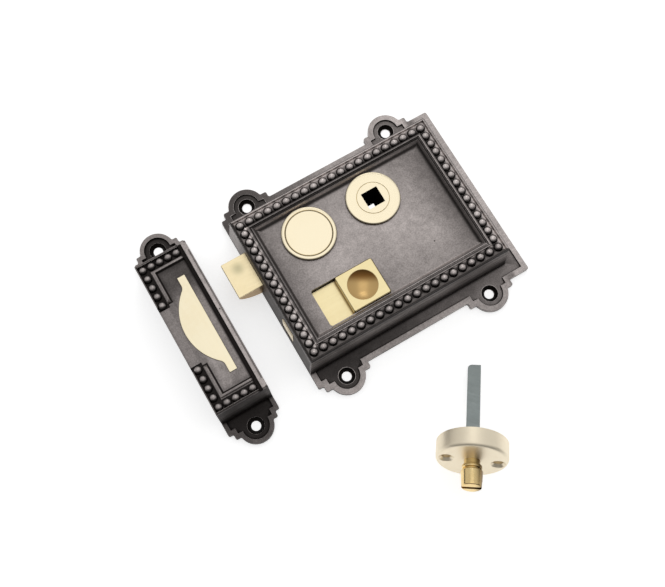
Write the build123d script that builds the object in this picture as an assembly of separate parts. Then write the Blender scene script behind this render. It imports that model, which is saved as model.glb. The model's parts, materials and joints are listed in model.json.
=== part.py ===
from build123d import *
import math
import os

# Rim latch with privacy snib, keep and coin release, in millimetres.
# The case lies on its back: X runs along its width with the bolts towards -X,
# Y along its height and Z out of its face. Z = 0 is the face of the door, and
# the origin is midway between the four case screws.

# Clearances
RUN = 0.06        # radial, a journal in its bore
SLIDE = 0.3       # a sliding piece and its guide
SEAT = 0.1        # a fixed piece in its rebate
SHANK = 0.05      # radial, a screw or rivet in its hole

# Case casting
CASE_W = 106.8    # box, where it stands on the plate
CASE_H = 77.4
CASE_D = 23.5     # back to rim
DRAFT = 1.5       # each wall leans in by this much
WALL = 3.4
PLATE_T = 3.0
FLANGE_END = 7.9  # plate beyond the box, above and below
FLANGE_BACK = 8.2 # plate beyond the box, on the side without bolts
BORDER_W = 2.6    # raised border of the plate
BORDER_SINK = 0.8
OUTLINE_ROUND = 0.8

# Screw ears of the case
LUG_X = 39.1
LUG_Y = 47.5
LUG_R = 8.8
SHOULDER_W = 23.4
SHOULDER_OUT = 3.0
FIX_HOLE_D = 4.5
FIX_HEAD_D = 8.0

# Moulding round the face, measured inwards from the outer edge of the rim
BEAD_IN = 3.4
BEAD_D = 4.3
CHANNEL_OUT = 2.7 # channel beyond the middle of the beads, outwards
CHANNEL_INW = 2.2 # and inwards
CHANNEL_DEPTH = 1.8
RIDGE_W = 0.9
QUIRK_W = 0.7
QUIRK_DEPTH = 1.1
INNER_RIDGE_W = 0.8
INNER_SLOPE = 1.1
PANEL_SINK = 1.6
PANEL_T = 3.0
BEAD_COLS = 20    # spaces between beads along the top and the bottom
BEAD_ROWS = 15    # spaces between beads along each side

# Back plate
BACK_T = 1.5
REBATE = 1.4
CORNER_POST_R = 3.8
CORNER_POST_IN = 3.5
BACK_SCREW_D = 2.9
BACK_SCREW_HEAD = 5.6
BACK_SCREW_L = 9.0

# Follower and its rose
FOLLOWER_X = 11.0
ROSE_GAP = 0.5    # rose to the moulding above it
SPINDLE = 8.0
SPINDLE_PLAY = 0.15
JOURNAL_R = 7.5
BARREL_R = 9.2
ROSE_D = 25.4
ROSE_T = 1.5
BUSH_WALL = 2.0
ARM_REACH = 16.0
ARM_TIP_R = 2.5
ARM_W = 4.0
ARM_T = 4.0

# Blank disc in the place of the second knob hole
BLANK_X = -23.0
BLANK_RIVET_D = 5.0
BLANK_WASHER_D = 9.0
BLANK_WASHER_T = 1.0
BLANK_LINE_D = 21.7
BLANK_LINE_W = 0.5
BLANK_LINE_DEPTH = 0.25

# Latch bolt and its tail
LATCH_W = 17.8
LATCH_OUT = 11.4
LATCH_TOP = 15.5
LATCH_T = 11.5
LATCH_INNER = 13.4  # bolt head behind the outer face of the wall
NOSE_FLAT = 2.5
NOSE_RUN = 10.2
NOSE_BULGE = 1.4
LATCH_TRAVEL = 11.3
TAIL_T = 2.2
TAIL_W = 26.4
TAIL_STRAP_IN = 9.7
TAIL_TAB_L = 10.0
TAIL_TAB_W = 12.0
TAIL_BAR = 4.7
TAIL_LUG_T = 4.0
TAIL_LUG_IN = 11.8
TAIL_LUG_OUT = 15.2
LATCH_RIVET_D = 3.0
LATCH_RIVET_SPREAD = 6.0

# Latch spring and its two guide pins
SPRING_X = -9.0   # the post's face that the spring bears on
SPRING_POST_T = 3.5
SPRING_POST_W = 9.0
GUIDE_R = 2.6
GUIDE_L = 8.5
SPRING_R = 3.85
SPRING_WIRE = 0.9
SPRING_TURNS = 9

# Snib: button, slide and privacy bolt
SNIB_IN = 39.15   # centre of the button at rest, from the bolts' side of the case
SNIB_GAP = 0.7    # button to the moulding below it
BUTTON_W = 19.1
BUTTON_H = 18.2
BUTTON_PROUD = 1.4
DIMPLE_D = 14.2
DIMPLE_DEPTH = 2.3
SNIB_TRAVEL = 11.9
SLOT_GAP = 0.3
BUTTON_ROUND = 0.9
SLIDE_T = 2.5
SLIDE_W = 18.0
SLIDE_LEAD = 13.7 # slide beyond the button, towards the bolt
SLIDE_TRAIL = 25.2
PRIVACY_OFF = 1.1 # above the middle of the button
PRIVACY_W = 9.5
PRIVACY_T = 10.8
PRIVACY_L = 22.7
SNIB_RIVET_D = 3.0
SNIB_RIVET_SPREAD = 12.0
PRIVACY_STUD = 1.7  # studs of the bolt in blind holes of the slide

# Leaf that holds the slide up and gives it friction
LEAF_IN = 19.25   # behind the middle of the button
LEAF_W = 6.0
LEAF_T = 0.6
LEAF_BOSS_R = 3.0
LEAF_SCREW_D = 2.5
LEAF_SCREW_HEAD = 5.0
LEAF_SCREW_HEAD_T = 1.5
LEAF_SCREW_L = 5.0

# Cam that the coin release turns
CAM_OFF = 2.25    # behind the middle of the button
CAM_GAP = 0.9     # hub to the tail of the latch
FORK_GAP = 1.1    # hub to the fork of the slide
CAM_SWING = 40.0  # degrees, each side of the middle
CAM_HUB_R = 4.8
CAM_JOURNAL_R = 4.6
CAM_ARM_T = 3.3
CAM_ARM_R = 2.7
CAM_PIN_R = 2.4
CAM_PIN_PLAY = 0.45
FORK_T = 2.4
FORK_H = 7.3
FORK_ROOT = 3.0   # fork under the slide, at the least

# Keep
KEEP_X = -86.3
KEEP_Y = 1.5
KEEP_W = 26.2
KEEP_H = 79.6
KEEP_DRAFT_X = 0.3
KEEP_DRAFT_Y = 1.3
KEEP_FLANGE = 6.6
KEEP_LUG_Y = 47.85
KEEP_LUG_R = 8.4
KEEP_SHOULDER_W = 21.6
KEEP_SHOULDER_OUT = 2.8
KEEP_BORDER_W = 2.0
KEEP_BORDER_SINK = 1.2
KEEP_BEAD_D = 3.9
KEEP_BEAD_IN_X = 2.5
KEEP_BEAD_IN_Y = 2.9
KEEP_CHANNEL_OUT = 2.0
KEEP_CHANNEL_INW = 3.0
KEEP_FRAME_IN = 7.7
KEEP_SLOPE = 1.0
KEEP_PANEL_SINK = 1.2
KEEP_BEAD_COLS = 4
KEEP_BEAD_PITCH = 4.25
KEEP_BEAD_STEP = 4.7
KEEP_BEAD_RUN = 5   # beads up each side from a corner
KEEP_OPEN_HALF = 15.8
KEEP_QUIRK_IN = 4.2
KEEP_QUIRK_W = 1.7
KEEP_QUIRK_DEPTH = 1.9
KEEP_WALL = 3.2
KEEP_ROOF = 4.5
KEEP_MOUTH_H = 62.0
KEEP_BAR_T = 3.0

# Crescent strike let into the keep
STRIKE_EDGE = 5.1   # straight edge, from the keep's middle
STRIKE_R = 25.0
STRIKE_BELLY = 12.6
STRIKE_TAB_W = 3.7
STRIKE_SWEEP = 3.0  # hollow curve between belly and tab
STRIKE_H = 49.4
STRIKE_T = 1.5
STRIKE_PROUD = 0.3
STRIKE_RIVET_D = 3.0
STRIKE_RIVET_HEAD = 5.0
STRIKE_RIVET_Y = 12.0

# Coin release, lying on its rim and on the tip of its tail
RELEASE_X = -12.9 # middle of its face
RELEASE_Y = -109.2
RELEASE_AIM = 233.0 # degrees, the way its face points
RELEASE_ROLL = -1.3
TURN_ROLL = 9.0
RELEASE_R = 15.9
RELEASE_T = 8.5
RELEASE_ROUND = 1.6
RELEASE_SCREWS = 22.8
RELEASE_HOLE_D = 4.4
RELEASE_HEAD_D = 6.8
TURN_SHAFT_R = 3.5
TURN_NECK_L = 2.2
TURN_RING_R = 4.4
TURN_RING_L = 1.8
TURN_WAIST_R = 3.7
TURN_WAIST_L = 0.8
TURN_BASE_R = 4.9
TURN_TIP_R = 4.4
TURN_OUT = 12.5
COIN_SLOT_W = 2.0
COIN_SLOT_DEPTH = 3.0
TURN_BEHIND = 5.0
TAILBAR_W = 6.0
TAILBAR_T = 3.0
TAILBAR_L = 39.2
TAILBAR_IN = 3.0
WASHER_R = 5.5
WASHER_T = 1.0
WASHER_GROOVE = 0.6
TAIL_PIN_R = 0.75

# Places worked out from the sizes above
RIM_W = CASE_W - 2 * DRAFT
RIM_H = CASE_H - 2 * DRAFT
PANEL_IN = BEAD_IN + CHANNEL_INW + RIDGE_W + QUIRK_W + INNER_RIDGE_W + INNER_SLOPE
PANEL_Z = CASE_D - PANEL_SINK
CEILING = PANEL_Z - PANEL_T
LEFT = -CASE_W / 2
ROOM_W = CASE_W - 2 * WALL
ROOM_H = CASE_H - 2 * WALL
PANEL_HALF_H = RIM_H / 2 - PANEL_IN
FOLLOWER_Y = PANEL_HALF_H - ROSE_GAP - ROSE_D / 2
SNIB_X = LEFT + SNIB_IN
SNIB_Y = SNIB_GAP + BUTTON_H / 2 - PANEL_HALF_H
PRIVACY_Y = SNIB_Y + PRIVACY_OFF
LEAF_X = SNIB_X + LEAF_IN
CAM_X = SNIB_X + CAM_OFF
CAM_Y = FOLLOWER_Y - TAIL_W / 2 - CAM_GAP - CAM_HUB_R
POST_X = ROOM_W / 2 - CORNER_POST_IN
POST_Y = ROOM_H / 2 - CORNER_POST_IN
LATCH_Z0 = LATCH_TOP - LATCH_T
LATCH_BACK = LEFT + LATCH_INNER
TAIL_Z0 = BACK_T + SLIDE
TAIL_Z1 = LATCH_Z0
ARM_Z0 = TAIL_Z1 + SLIDE
ARM_Z1 = ARM_Z0 + ARM_T
ARM_TIP = ARM_REACH - ARM_TIP_R
ARM_SWEPT = math.degrees(math.asin(LATCH_TRAVEL / (2 * ARM_TIP)))
SPRING_Z = (LATCH_Z0 + LATCH_TOP) / 2
SLIDE_Z1 = CEILING - SLIDE
SLIDE_Z0 = SLIDE_Z1 - SLIDE_T
BUTTON_TOP = PANEL_Z + BUTTON_PROUD
SLIDE_X0 = SNIB_X - BUTTON_W / 2 - SLIDE_LEAD
SLIDE_X1 = SNIB_X + BUTTON_W / 2 + SLIDE_TRAIL
PRIVACY_Z0 = SLIDE_Z0 - PRIVACY_T
CAM_ARM_L = SNIB_TRAVEL / (2 * math.sin(math.radians(CAM_SWING)))
CAM_PIN_X = CAM_X + SNIB_TRAVEL / 2
CAM_PIN_Y = CAM_Y - CAM_ARM_L * math.cos(math.radians(CAM_SWING))
FORK_Z0 = SLIDE_Z0 - FORK_H + SLIDE / 2
CAM_ARM_Z1 = FORK_Z0 - SLIDE
CAM_ARM_Z0 = CAM_ARM_Z1 - CAM_ARM_T
CAM_TOP = SLIDE_Z0 - SLIDE


def block(x0, x1, y0, y1, z0, z1):
    """Box between two opposite corners."""
    middle = Pos((x0 + x1) / 2, (y0 + y1) / 2, (z0 + z1) / 2)
    return middle * Box(x1 - x0, y1 - y0, z1 - z0)


def rod(x, y, z0, z1, radius):
    """Upright cylinder between two heights."""
    return Pos(x, y, (z0 + z1) / 2) * Cylinder(radius, z1 - z0)


def taper(x, y, z0, z1, radius0, radius1):
    """Upright cone between two heights."""
    return Pos(x, y, (z0 + z1) / 2) * Cone(radius0, radius1, z1 - z0)


def ring_cut(width, height, inset, band, top, depth):
    """Rectangular groove that runs round a face, inset from its edge."""
    outer = Rectangle(width - 2 * inset, height - 2 * inset)
    inner = Rectangle(width - 2 * (inset + band), height - 2 * (inset + band))
    return extrude(Pos(0, 0, top - depth) * (outer - inner), depth + 1)


def eared_outline(x0, x1, half_h, lugs, radius, shoulder_w, shoulder_out, inset):
    """Plate with round screw ears on shoulders, all drawn in by an inset."""
    width = x1 - x0 - 2 * inset
    outline = Pos((x0 + x1) / 2, 0) * Rectangle(width, 2 * (half_h - inset))
    for x, y in lugs:
        reach = half_h + shoulder_out - inset
        side = math.copysign(1, y)
        outline += Pos(x, side * reach / 2) * Rectangle(shoulder_w - 2 * inset, reach)
        outline += Pos(x, y) * Circle(radius - inset)
    return outline


def bordered_plate(plan, border, sink):
    """Plate with a raised border along its outline, its corners rounded."""
    whole = eared_outline(*plan, 0)
    plate = extrude(fillet(whole.vertices(), OUTLINE_ROUND), PLATE_T)
    field = extrude(eared_outline(*plan, border), sink)
    return plate - Pos(0, 0, PLATE_T - sink) * field


def wood_screw_holes(lugs, thickness):
    """Countersunk holes for the fixing screws."""
    depth = (FIX_HEAD_D - FIX_HOLE_D) / 2
    holes = []
    for x, y in lugs:
        holes.append(rod(x, y, -1, thickness + 1, FIX_HOLE_D / 2))
        sink = taper(x, y, thickness - depth, thickness, FIX_HOLE_D / 2, FIX_HEAD_D / 2)
        holes.append(sink)
        holes.append(rod(x, y, thickness, thickness + 2, FIX_HEAD_D / 2))
    return holes


def beads(points, top, diameter):
    """Round beads whose tops are level with the rim."""
    return [Pos(x, y, top - diameter / 2) * Sphere(diameter / 2) for x, y in points]


def case_bead_points():
    """Bead centres round the face of the case, one at each corner."""
    half_w = RIM_W / 2 - BEAD_IN
    half_h = RIM_H / 2 - BEAD_IN
    step_x = 2 * half_w / BEAD_COLS
    step_y = 2 * half_h / BEAD_ROWS
    points = []
    for i in range(BEAD_COLS + 1):
        points += [(i * step_x - half_w, half_h), (i * step_x - half_w, -half_h)]
    for j in range(1, BEAD_ROWS):
        points += [(half_w, j * step_y - half_h), (-half_w, j * step_y - half_h)]
    return points


def case_lugs():
    return [(sx * LUG_X, sy * LUG_Y) for sx in (-1, 1) for sy in (-1, 1)]


def case_shell():
    """Plate, drafted box and moulded face of the casting."""
    half_h = CASE_H / 2 + FLANGE_END
    x1 = CASE_W / 2 + FLANGE_BACK
    plan = (LEFT, x1, half_h, case_lugs(), LUG_R, SHOULDER_W, SHOULDER_OUT)
    shell = bordered_plate(plan, BORDER_W, BORDER_SINK)
    foot = Pos(0, 0, PLATE_T) * Rectangle(CASE_W, CASE_H)
    rim = Pos(0, 0, CASE_D) * Rectangle(RIM_W, RIM_H)
    shell += block(LEFT, CASE_W / 2, -CASE_H / 2, CASE_H / 2, 0, PLATE_T)
    shell += loft([foot, rim])
    channel_w = CHANNEL_OUT + CHANNEL_INW
    quirk_in = BEAD_IN + CHANNEL_INW + RIDGE_W
    shell -= ring_cut(RIM_W, RIM_H, BEAD_IN - CHANNEL_OUT, channel_w, CASE_D, CHANNEL_DEPTH)
    shell -= ring_cut(RIM_W, RIM_H, quirk_in, QUIRK_W, CASE_D, QUIRK_DEPTH)
    panel = Rectangle(RIM_W - 2 * PANEL_IN, RIM_H - 2 * PANEL_IN)
    slope_in = PANEL_IN - INNER_SLOPE
    brim = Rectangle(RIM_W - 2 * slope_in, RIM_H - 2 * slope_in)
    shell -= loft([Pos(0, 0, PANEL_Z) * panel, Pos(0, 0, CASE_D) * brim])
    return shell


def case_room():
    """Hollow of the case with the rebate of the back plate."""
    room = block(-ROOM_W / 2, ROOM_W / 2, -ROOM_H / 2, ROOM_H / 2, -1, CEILING)
    w = ROOM_W / 2 + REBATE
    h = ROOM_H / 2 + REBATE
    return room + block(-w, w, -h, h, -1, BACK_T)


def case_bosses():
    """Posts, bosses and the spring's abutment, cast with the case."""
    parts = []
    for x, y in corner_posts():
        parts.append(rod(x, y, BACK_T, CEILING, CORNER_POST_R))
    y0 = FOLLOWER_Y - SPRING_POST_W / 2
    y1 = FOLLOWER_Y + SPRING_POST_W / 2
    z0 = TAIL_Z1 + 2 * SLIDE
    parts.append(block(SPRING_X, SPRING_X + SPRING_POST_T, y0, y1, z0, CEILING))
    pin = Cylinder(GUIDE_R, GUIDE_L, rotation=(0, 90, 0))
    parts.append(Pos(SPRING_X - GUIDE_L / 2, FOLLOWER_Y, SPRING_Z) * pin)
    for y in leaf_boss_places():
        parts.append(rod(LEAF_X, y, SLIDE_Z0 - SLIDE, CEILING, LEAF_BOSS_R))
    return parts


def corner_posts():
    return [(sx * POST_X, sy * POST_Y) for sx in (-1, 1) for sy in (-1, 1)]


def leaf_boss_places():
    off = SLIDE_W / 2 + LEAF_BOSS_R + 2 * SLIDE
    return [SNIB_Y - off, SNIB_Y + off]


def make_case_body():
    body = case_shell() - case_room()
    body += case_bosses()
    body -= wood_screw_holes(case_lugs(), PLATE_T - BORDER_SINK)
    # windows of the two bolts in the side wall
    gap = SLIDE
    y0, y1 = FOLLOWER_Y - LATCH_W / 2 - gap, FOLLOWER_Y + LATCH_W / 2 + gap
    windows = [block(LEFT - 1, -ROOM_W / 2 + 1, y0, y1, LATCH_Z0 - gap, LATCH_TOP + gap)]
    y0, y1 = PRIVACY_Y - PRIVACY_W / 2 - gap, PRIVACY_Y + PRIVACY_W / 2 + gap
    windows.append(block(LEFT - 1, -ROOM_W / 2 + 1, y0, y1, PRIVACY_Z0 - gap, SLIDE_Z0 + gap))
    body -= windows
    # hole for the bush of the rose, the rivet of the blank disc and the snib's slot
    body -= rod(FOLLOWER_X, FOLLOWER_Y, CEILING - 1, CASE_D, JOURNAL_R + BUSH_WALL)
    body -= rod(BLANK_X, FOLLOWER_Y, CEILING - 1, CASE_D, BLANK_RIVET_D / 2 + SHANK)
    x0 = SNIB_X - BUTTON_W / 2 - SNIB_TRAVEL - SLOT_GAP
    x1 = SNIB_X + BUTTON_W / 2 + SLOT_GAP
    slot = RectangleRounded(x1 - x0, BUTTON_H + 2 * SLOT_GAP, BUTTON_ROUND + SLOT_GAP)
    body -= extrude(Pos((x0 + x1) / 2, SNIB_Y, CEILING - 1) * slot, PANEL_T + 1.5)
    # threaded holes
    for x, y in corner_posts():
        body -= rod(x, y, 0, BACK_SCREW_L + 0.5, BACK_SCREW_D / 2)
    for y in leaf_boss_places():
        z0 = SLIDE_Z0 - SLIDE
        body -= rod(LEAF_X, y, z0 - 1, z0 + LEAF_SCREW_L, LEAF_SCREW_D / 2)
    body += beads(case_bead_points(), CASE_D, BEAD_D)
    return body


def make_back_plate():
    w = ROOM_W / 2 + REBATE - SEAT
    h = ROOM_H / 2 + REBATE - SEAT
    plate = block(-w, w, -h, h, 0, BACK_T)
    plate -= rod(FOLLOWER_X, FOLLOWER_Y, -1, BACK_T + 1, JOURNAL_R + RUN)
    plate -= rod(CAM_X, CAM_Y, -1, BACK_T + 1, CAM_JOURNAL_R + RUN)
    for x, y in corner_posts():
        plate -= rod(x, y, -1, BACK_T + 1, BACK_SCREW_D / 2)
        plate -= taper(x, y, 0, sink_depth(), BACK_SCREW_HEAD / 2, BACK_SCREW_D / 2)
    return plate


def sink_depth():
    return (BACK_SCREW_HEAD - BACK_SCREW_D) / 2


def make_back_plate_screws():
    """Four countersunk screws with a slot across each head."""
    screws = []
    for x, y in corner_posts():
        shank_r = BACK_SCREW_D / 2 - SHANK
        screw = rod(x, y, 0, BACK_SCREW_L, shank_r)
        screw += taper(x, y, 0, sink_depth(), BACK_SCREW_HEAD / 2 - SHANK, shank_r)
        head = BACK_SCREW_HEAD
        screw -= block(x - head, x + head, y - 0.35, y + 0.35, -1, 0.6)
        screws.append(screw)
    return screws


def make_follower_rose():
    """Flanged bush that the follower turns in."""
    rose = rod(FOLLOWER_X, FOLLOWER_Y, PANEL_Z, PANEL_Z + ROSE_T, ROSE_D / 2)
    rose = fillet(rose.edges().group_by(Axis.Z)[-1], ROSE_T / 4)
    rose += rod(FOLLOWER_X, FOLLOWER_Y, CEILING, PANEL_Z, JOURNAL_R + BUSH_WALL - SHANK)
    rose -= rod(FOLLOWER_X, FOLLOWER_Y, CEILING - 1, CASE_D + 1, JOURNAL_R + RUN)
    return rose


def make_follower():
    """Hub with a square hole and two swept arms that push the lugs of the tail."""
    x, y = FOLLOWER_X, FOLLOWER_Y
    hub = rod(x, y, 0.2, PANEL_Z + ROSE_T, JOURNAL_R)
    hub += rod(x, y, TAIL_Z0, TAIL_Z1 - SLIDE, BARREL_R)
    hub += rod(x, y, ARM_Z1 + SLIDE, CEILING - SLIDE, BARREL_R)
    arm = Pos(ARM_TIP / 2, 0) * Rectangle(ARM_TIP, ARM_W) + Pos(ARM_TIP, 0) * Circle(ARM_TIP_R)
    for aim in (90 + ARM_SWEPT, -90 - ARM_SWEPT):
        hub += Pos(x, y, ARM_Z0) * Rot(0, 0, aim) * extrude(arm, ARM_T)
    side = SPINDLE + 2 * SPINDLE_PLAY
    hub -= block(x - side / 2, x + side / 2, y - side / 2, y + side / 2, -1, CASE_D + 1)
    return hub


def make_blank_disc():
    """Plain disc with an engraved ring, on a rivet through the panel."""
    disc = rod(BLANK_X, FOLLOWER_Y, PANEL_Z, PANEL_Z + ROSE_T, ROSE_D / 2)
    disc = fillet(disc.edges().group_by(Axis.Z)[-1], ROSE_T / 4)
    line = Circle((BLANK_LINE_D + BLANK_LINE_W) / 2) - Circle((BLANK_LINE_D - BLANK_LINE_W) / 2)
    top = PANEL_Z + ROSE_T - BLANK_LINE_DEPTH
    disc -= extrude(Pos(BLANK_X, FOLLOWER_Y, top) * line, 1)
    stem_end = CEILING - BLANK_WASHER_T - 0.4
    return disc + rod(BLANK_X, FOLLOWER_Y, stem_end, PANEL_Z, BLANK_RIVET_D / 2)


def make_blank_disc_washer():
    z0 = CEILING - BLANK_WASHER_T
    washer = rod(BLANK_X, FOLLOWER_Y, z0, CEILING, BLANK_WASHER_D / 2)
    return washer - rod(BLANK_X, FOLLOWER_Y, z0 - 1, CEILING + 1, BLANK_RIVET_D / 2 + SHANK)


def latch_rivet_places():
    x = LATCH_BACK - TAIL_TAB_L / 2
    half = LATCH_RIVET_SPREAD / 2
    return [(x, FOLLOWER_Y - half), (x, FOLLOWER_Y + half)]


def make_latch_bolt():
    """Bolt head, rounded off on the back, with a guide pin for the spring."""
    tip = LEFT - LATCH_OUT
    heel = tip + NOSE_RUN
    flat = LATCH_TOP - NOSE_FLAT
    rise = flat - LATCH_Z0
    chord = math.hypot(NOSE_RUN, rise)
    mid = ((tip + heel) / 2 - NOSE_BULGE * rise / chord,
           (flat + LATCH_Z0) / 2 - NOSE_BULGE * NOSE_RUN / chord)
    outline = Line((tip, flat), (tip, LATCH_TOP))
    outline += Line((tip, LATCH_TOP), (LATCH_BACK, LATCH_TOP))
    outline += Line((LATCH_BACK, LATCH_TOP), (LATCH_BACK, LATCH_Z0))
    outline += Line((LATCH_BACK, LATCH_Z0), (heel, LATCH_Z0))
    outline += ThreePointArc((heel, LATCH_Z0), mid, (tip, flat))
    section = Plane.XZ * make_face(outline)
    head = Pos(0, FOLLOWER_Y + LATCH_W / 2, 0) * extrude(section, LATCH_W)
    pin = Cylinder(GUIDE_R, GUIDE_L, rotation=(0, 90, 0))
    head += Pos(LATCH_BACK + GUIDE_L / 2, FOLLOWER_Y, SPRING_Z) * pin
    for x, y in latch_rivet_places():
        head -= rod(x, y, LATCH_Z0 - 1, LATCH_Z0 + 5.5, LATCH_RIVET_D / 2 + SHANK)
    return head


def make_latch_tail():
    """Flat yoke that passes round the follower, with two lugs for its arms."""
    y = FOLLOWER_Y
    half = TAIL_W / 2
    room0 = FOLLOWER_X - BARREL_R - 2 * SLIDE - LATCH_TRAVEL
    room1 = FOLLOWER_X + BARREL_R + 2 * SLIDE
    neck = LATCH_BACK + TAIL_STRAP_IN - TAIL_TAB_W / 2 + half - TAIL_STRAP_IN
    outline = Polyline(
        (LATCH_BACK - TAIL_TAB_L, -TAIL_TAB_W / 2), (LATCH_BACK, -TAIL_TAB_W / 2),
        (neck, -half), (room1 + TAIL_BAR, -half), (room1 + TAIL_BAR, half), (neck, half),
        (LATCH_BACK, TAIL_TAB_W / 2), (LATCH_BACK - TAIL_TAB_L, TAIL_TAB_W / 2), close=True)
    window = Pos((room0 + room1) / 2, 0) * Rectangle(room1 - room0, 2 * TAIL_STRAP_IN)
    tail = Pos(0, y, TAIL_Z0) * extrude(make_face(outline) - window, TAIL_Z1 - TAIL_Z0)
    lug0 = FOLLOWER_X - LATCH_TRAVEL / 2 + ARM_TIP_R + SLIDE
    for side in (-1, 1):
        a, b = sorted((y + side * TAIL_LUG_IN, y + side * TAIL_LUG_OUT))
        tail += block(lug0, lug0 + TAIL_LUG_T, a, b, TAIL_Z0, ARM_Z1)
    for x, yr in latch_rivet_places():
        tail -= rod(x, yr, TAIL_Z0 - 1, TAIL_Z1 + 1, LATCH_RIVET_D / 2 + SHANK)
    return tail


def make_latch_rivets():
    rivets = []
    for x, y in latch_rivet_places():
        rivets.append(rod(x, y, TAIL_Z0, LATCH_Z0 + 5, LATCH_RIVET_D / 2))
    return rivets


def make_latch_spring():
    """Coil spring between the bolt head and the abutment of the case."""
    x0 = LATCH_BACK + SPRING_WIRE / 2 + SEAT
    length = SPRING_X - LATCH_BACK - SPRING_WIRE - 2 * SEAT
    path = Helix(pitch=length / SPRING_TURNS, height=length, radius=SPRING_R)
    start = path @ 0
    section = Plane(origin=start, z_dir=path % 0) * RegularPolygon(SPRING_WIRE / 2, 6)
    coil = sweep(section, path=path, is_frenet=True)
    return Pos(x0, FOLLOWER_Y, SPRING_Z) * Rot(0, 90, 0) * coil


def make_snib_button():
    """Square thumb piece with a round finger dimple."""
    w, h = BUTTON_W / 2, BUTTON_H / 2
    button = block(SNIB_X - w, SNIB_X + w, SNIB_Y - h, SNIB_Y + h, SLIDE_Z1, BUTTON_TOP)
    button = fillet(button.edges().filter_by(Axis.Z), BUTTON_ROUND)
    button = chamfer(button.edges().group_by(Axis.Z)[-1], 0.3)
    ball = (DIMPLE_D ** 2 / 4 + DIMPLE_DEPTH ** 2) / (2 * DIMPLE_DEPTH)
    button -= Pos(SNIB_X, SNIB_Y, BUTTON_TOP - DIMPLE_DEPTH + ball) * Sphere(ball)
    for x, y in button_rivet_places():
        button -= rod(x, y, SLIDE_Z1 - 1, SLIDE_Z1 + 2.0, SNIB_RIVET_D / 2 + SHANK)
    return button


def button_rivet_places():
    half = SNIB_RIVET_SPREAD / 2
    return [(SNIB_X - half, SNIB_Y), (SNIB_X + half, SNIB_Y)]


def privacy_rivet_places():
    x = SLIDE_X0 + 4.0
    half = PRIVACY_W / 4
    return [(x, PRIVACY_Y - half), (x, PRIVACY_Y + half)]


def make_snib_slide():
    """Slide under the panel, with a fork below it for the pin of the cam."""
    half = SLIDE_W / 2
    slide = block(SLIDE_X0, SLIDE_X1, SNIB_Y - half, SNIB_Y + half, SLIDE_Z0, SLIDE_Z1)
    inner = CAM_PIN_R + CAM_PIN_PLAY
    y1 = CAM_Y - CAM_HUB_R - FORK_GAP
    y0 = min(CAM_Y - CAM_ARM_L - CAM_PIN_R - 1, SNIB_Y + half - FORK_ROOT)
    for x0, x1 in ((-inner - FORK_T, -inner), (inner, inner + FORK_T)):
        slide += block(CAM_PIN_X + x0, CAM_PIN_X + x1, y0, y1, FORK_Z0, SLIDE_Z0)
    for x, y in button_rivet_places():
        slide -= rod(x, y, SLIDE_Z0 - 1, SLIDE_Z1 + 1, SNIB_RIVET_D / 2 + SHANK)
    for x, y in privacy_rivet_places():
        slide -= rod(x, y, SLIDE_Z0 - 1, SLIDE_Z0 + PRIVACY_STUD, SNIB_RIVET_D / 2 + SHANK)
    return slide


def make_snib_rivets():
    return [rod(x, y, SLIDE_Z0, SLIDE_Z1 + 1.9, SNIB_RIVET_D / 2) for x, y in button_rivet_places()]


def make_privacy_bolt():
    """Bolt block under the leading end of the slide, flush with the wall at rest."""
    lean = DRAFT * (SLIDE_Z0 - PLATE_T) / (CASE_D - PLATE_T)
    x0 = LEFT + lean / 2
    half = PRIVACY_W / 2
    x1 = x0 + PRIVACY_L
    bolt = block(x0, x1, PRIVACY_Y - half, PRIVACY_Y + half, PRIVACY_Z0, SLIDE_Z0)
    for x, y in privacy_rivet_places():
        bolt -= rod(x, y, SLIDE_Z0 - 5.5, SLIDE_Z0 + 1, SNIB_RIVET_D / 2 + SHANK)
    return bolt


def make_privacy_rivets():
    top = SLIDE_Z0 + PRIVACY_STUD - 0.1
    return [rod(x, y, SLIDE_Z0 - 5, top, SNIB_RIVET_D / 2) for x, y in privacy_rivet_places()]


def make_snib_spring():
    """Leaf across the underside of the slide, screwed to two bosses."""
    ends = leaf_boss_places()
    top = SLIDE_Z0 - SLIDE
    plan = Pos(LEAF_X, sum(ends) / 2) * SlotOverall(
        ends[1] - ends[0] + 2 * LEAF_BOSS_R, LEAF_W, rotation=90)
    leaf = Pos(0, 0, top - LEAF_T) * extrude(plan, LEAF_T)
    for y in ends:
        leaf -= rod(LEAF_X, y, top - 2, top + 1, LEAF_SCREW_D / 2 + SHANK)
    return leaf


def make_snib_spring_screws():
    screws = []
    under = SLIDE_Z0 - SLIDE - LEAF_T
    for y in leaf_boss_places():
        screw = rod(LEAF_X, y, under - LEAF_SCREW_HEAD_T, under, LEAF_SCREW_HEAD / 2)
        screw += rod(LEAF_X, y, under, under + LEAF_SCREW_L, LEAF_SCREW_D / 2 - SHANK)
        z = under - LEAF_SCREW_HEAD_T
        head = LEAF_SCREW_HEAD
        screw -= block(LEAF_X - head, LEAF_X + head, y - 0.35, y + 0.35, z - 1, z + 0.6)
        screws.append(screw)
    return screws


def make_release_cam():
    """Hub between back plate and slide, with an arm and a pin to the fork."""
    hub = rod(CAM_X, CAM_Y, 0.2, TAIL_Z0, CAM_JOURNAL_R)
    hub += rod(CAM_X, CAM_Y, TAIL_Z0, CAM_TOP, CAM_HUB_R)
    arm = make_hull([Circle(CAM_HUB_R - 1).edge(), (Pos(CAM_ARM_L, 0) * Circle(CAM_ARM_R)).edge()])
    aim = Rot(0, 0, CAM_SWING - 90)
    hub += Pos(CAM_X, CAM_Y, CAM_ARM_Z0) * aim * extrude(arm, CAM_ARM_T)
    hub += rod(CAM_PIN_X, CAM_PIN_Y, CAM_ARM_Z1, FORK_Z0 + 4, CAM_PIN_R)
    slot = Pos(0, 0, -1) * extrude(Rectangle(TAILBAR_W + 0.3, TAILBAR_T + 0.3), 9)
    hub -= Pos(CAM_X, CAM_Y, 0) * aim * slot
    return hub


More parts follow.
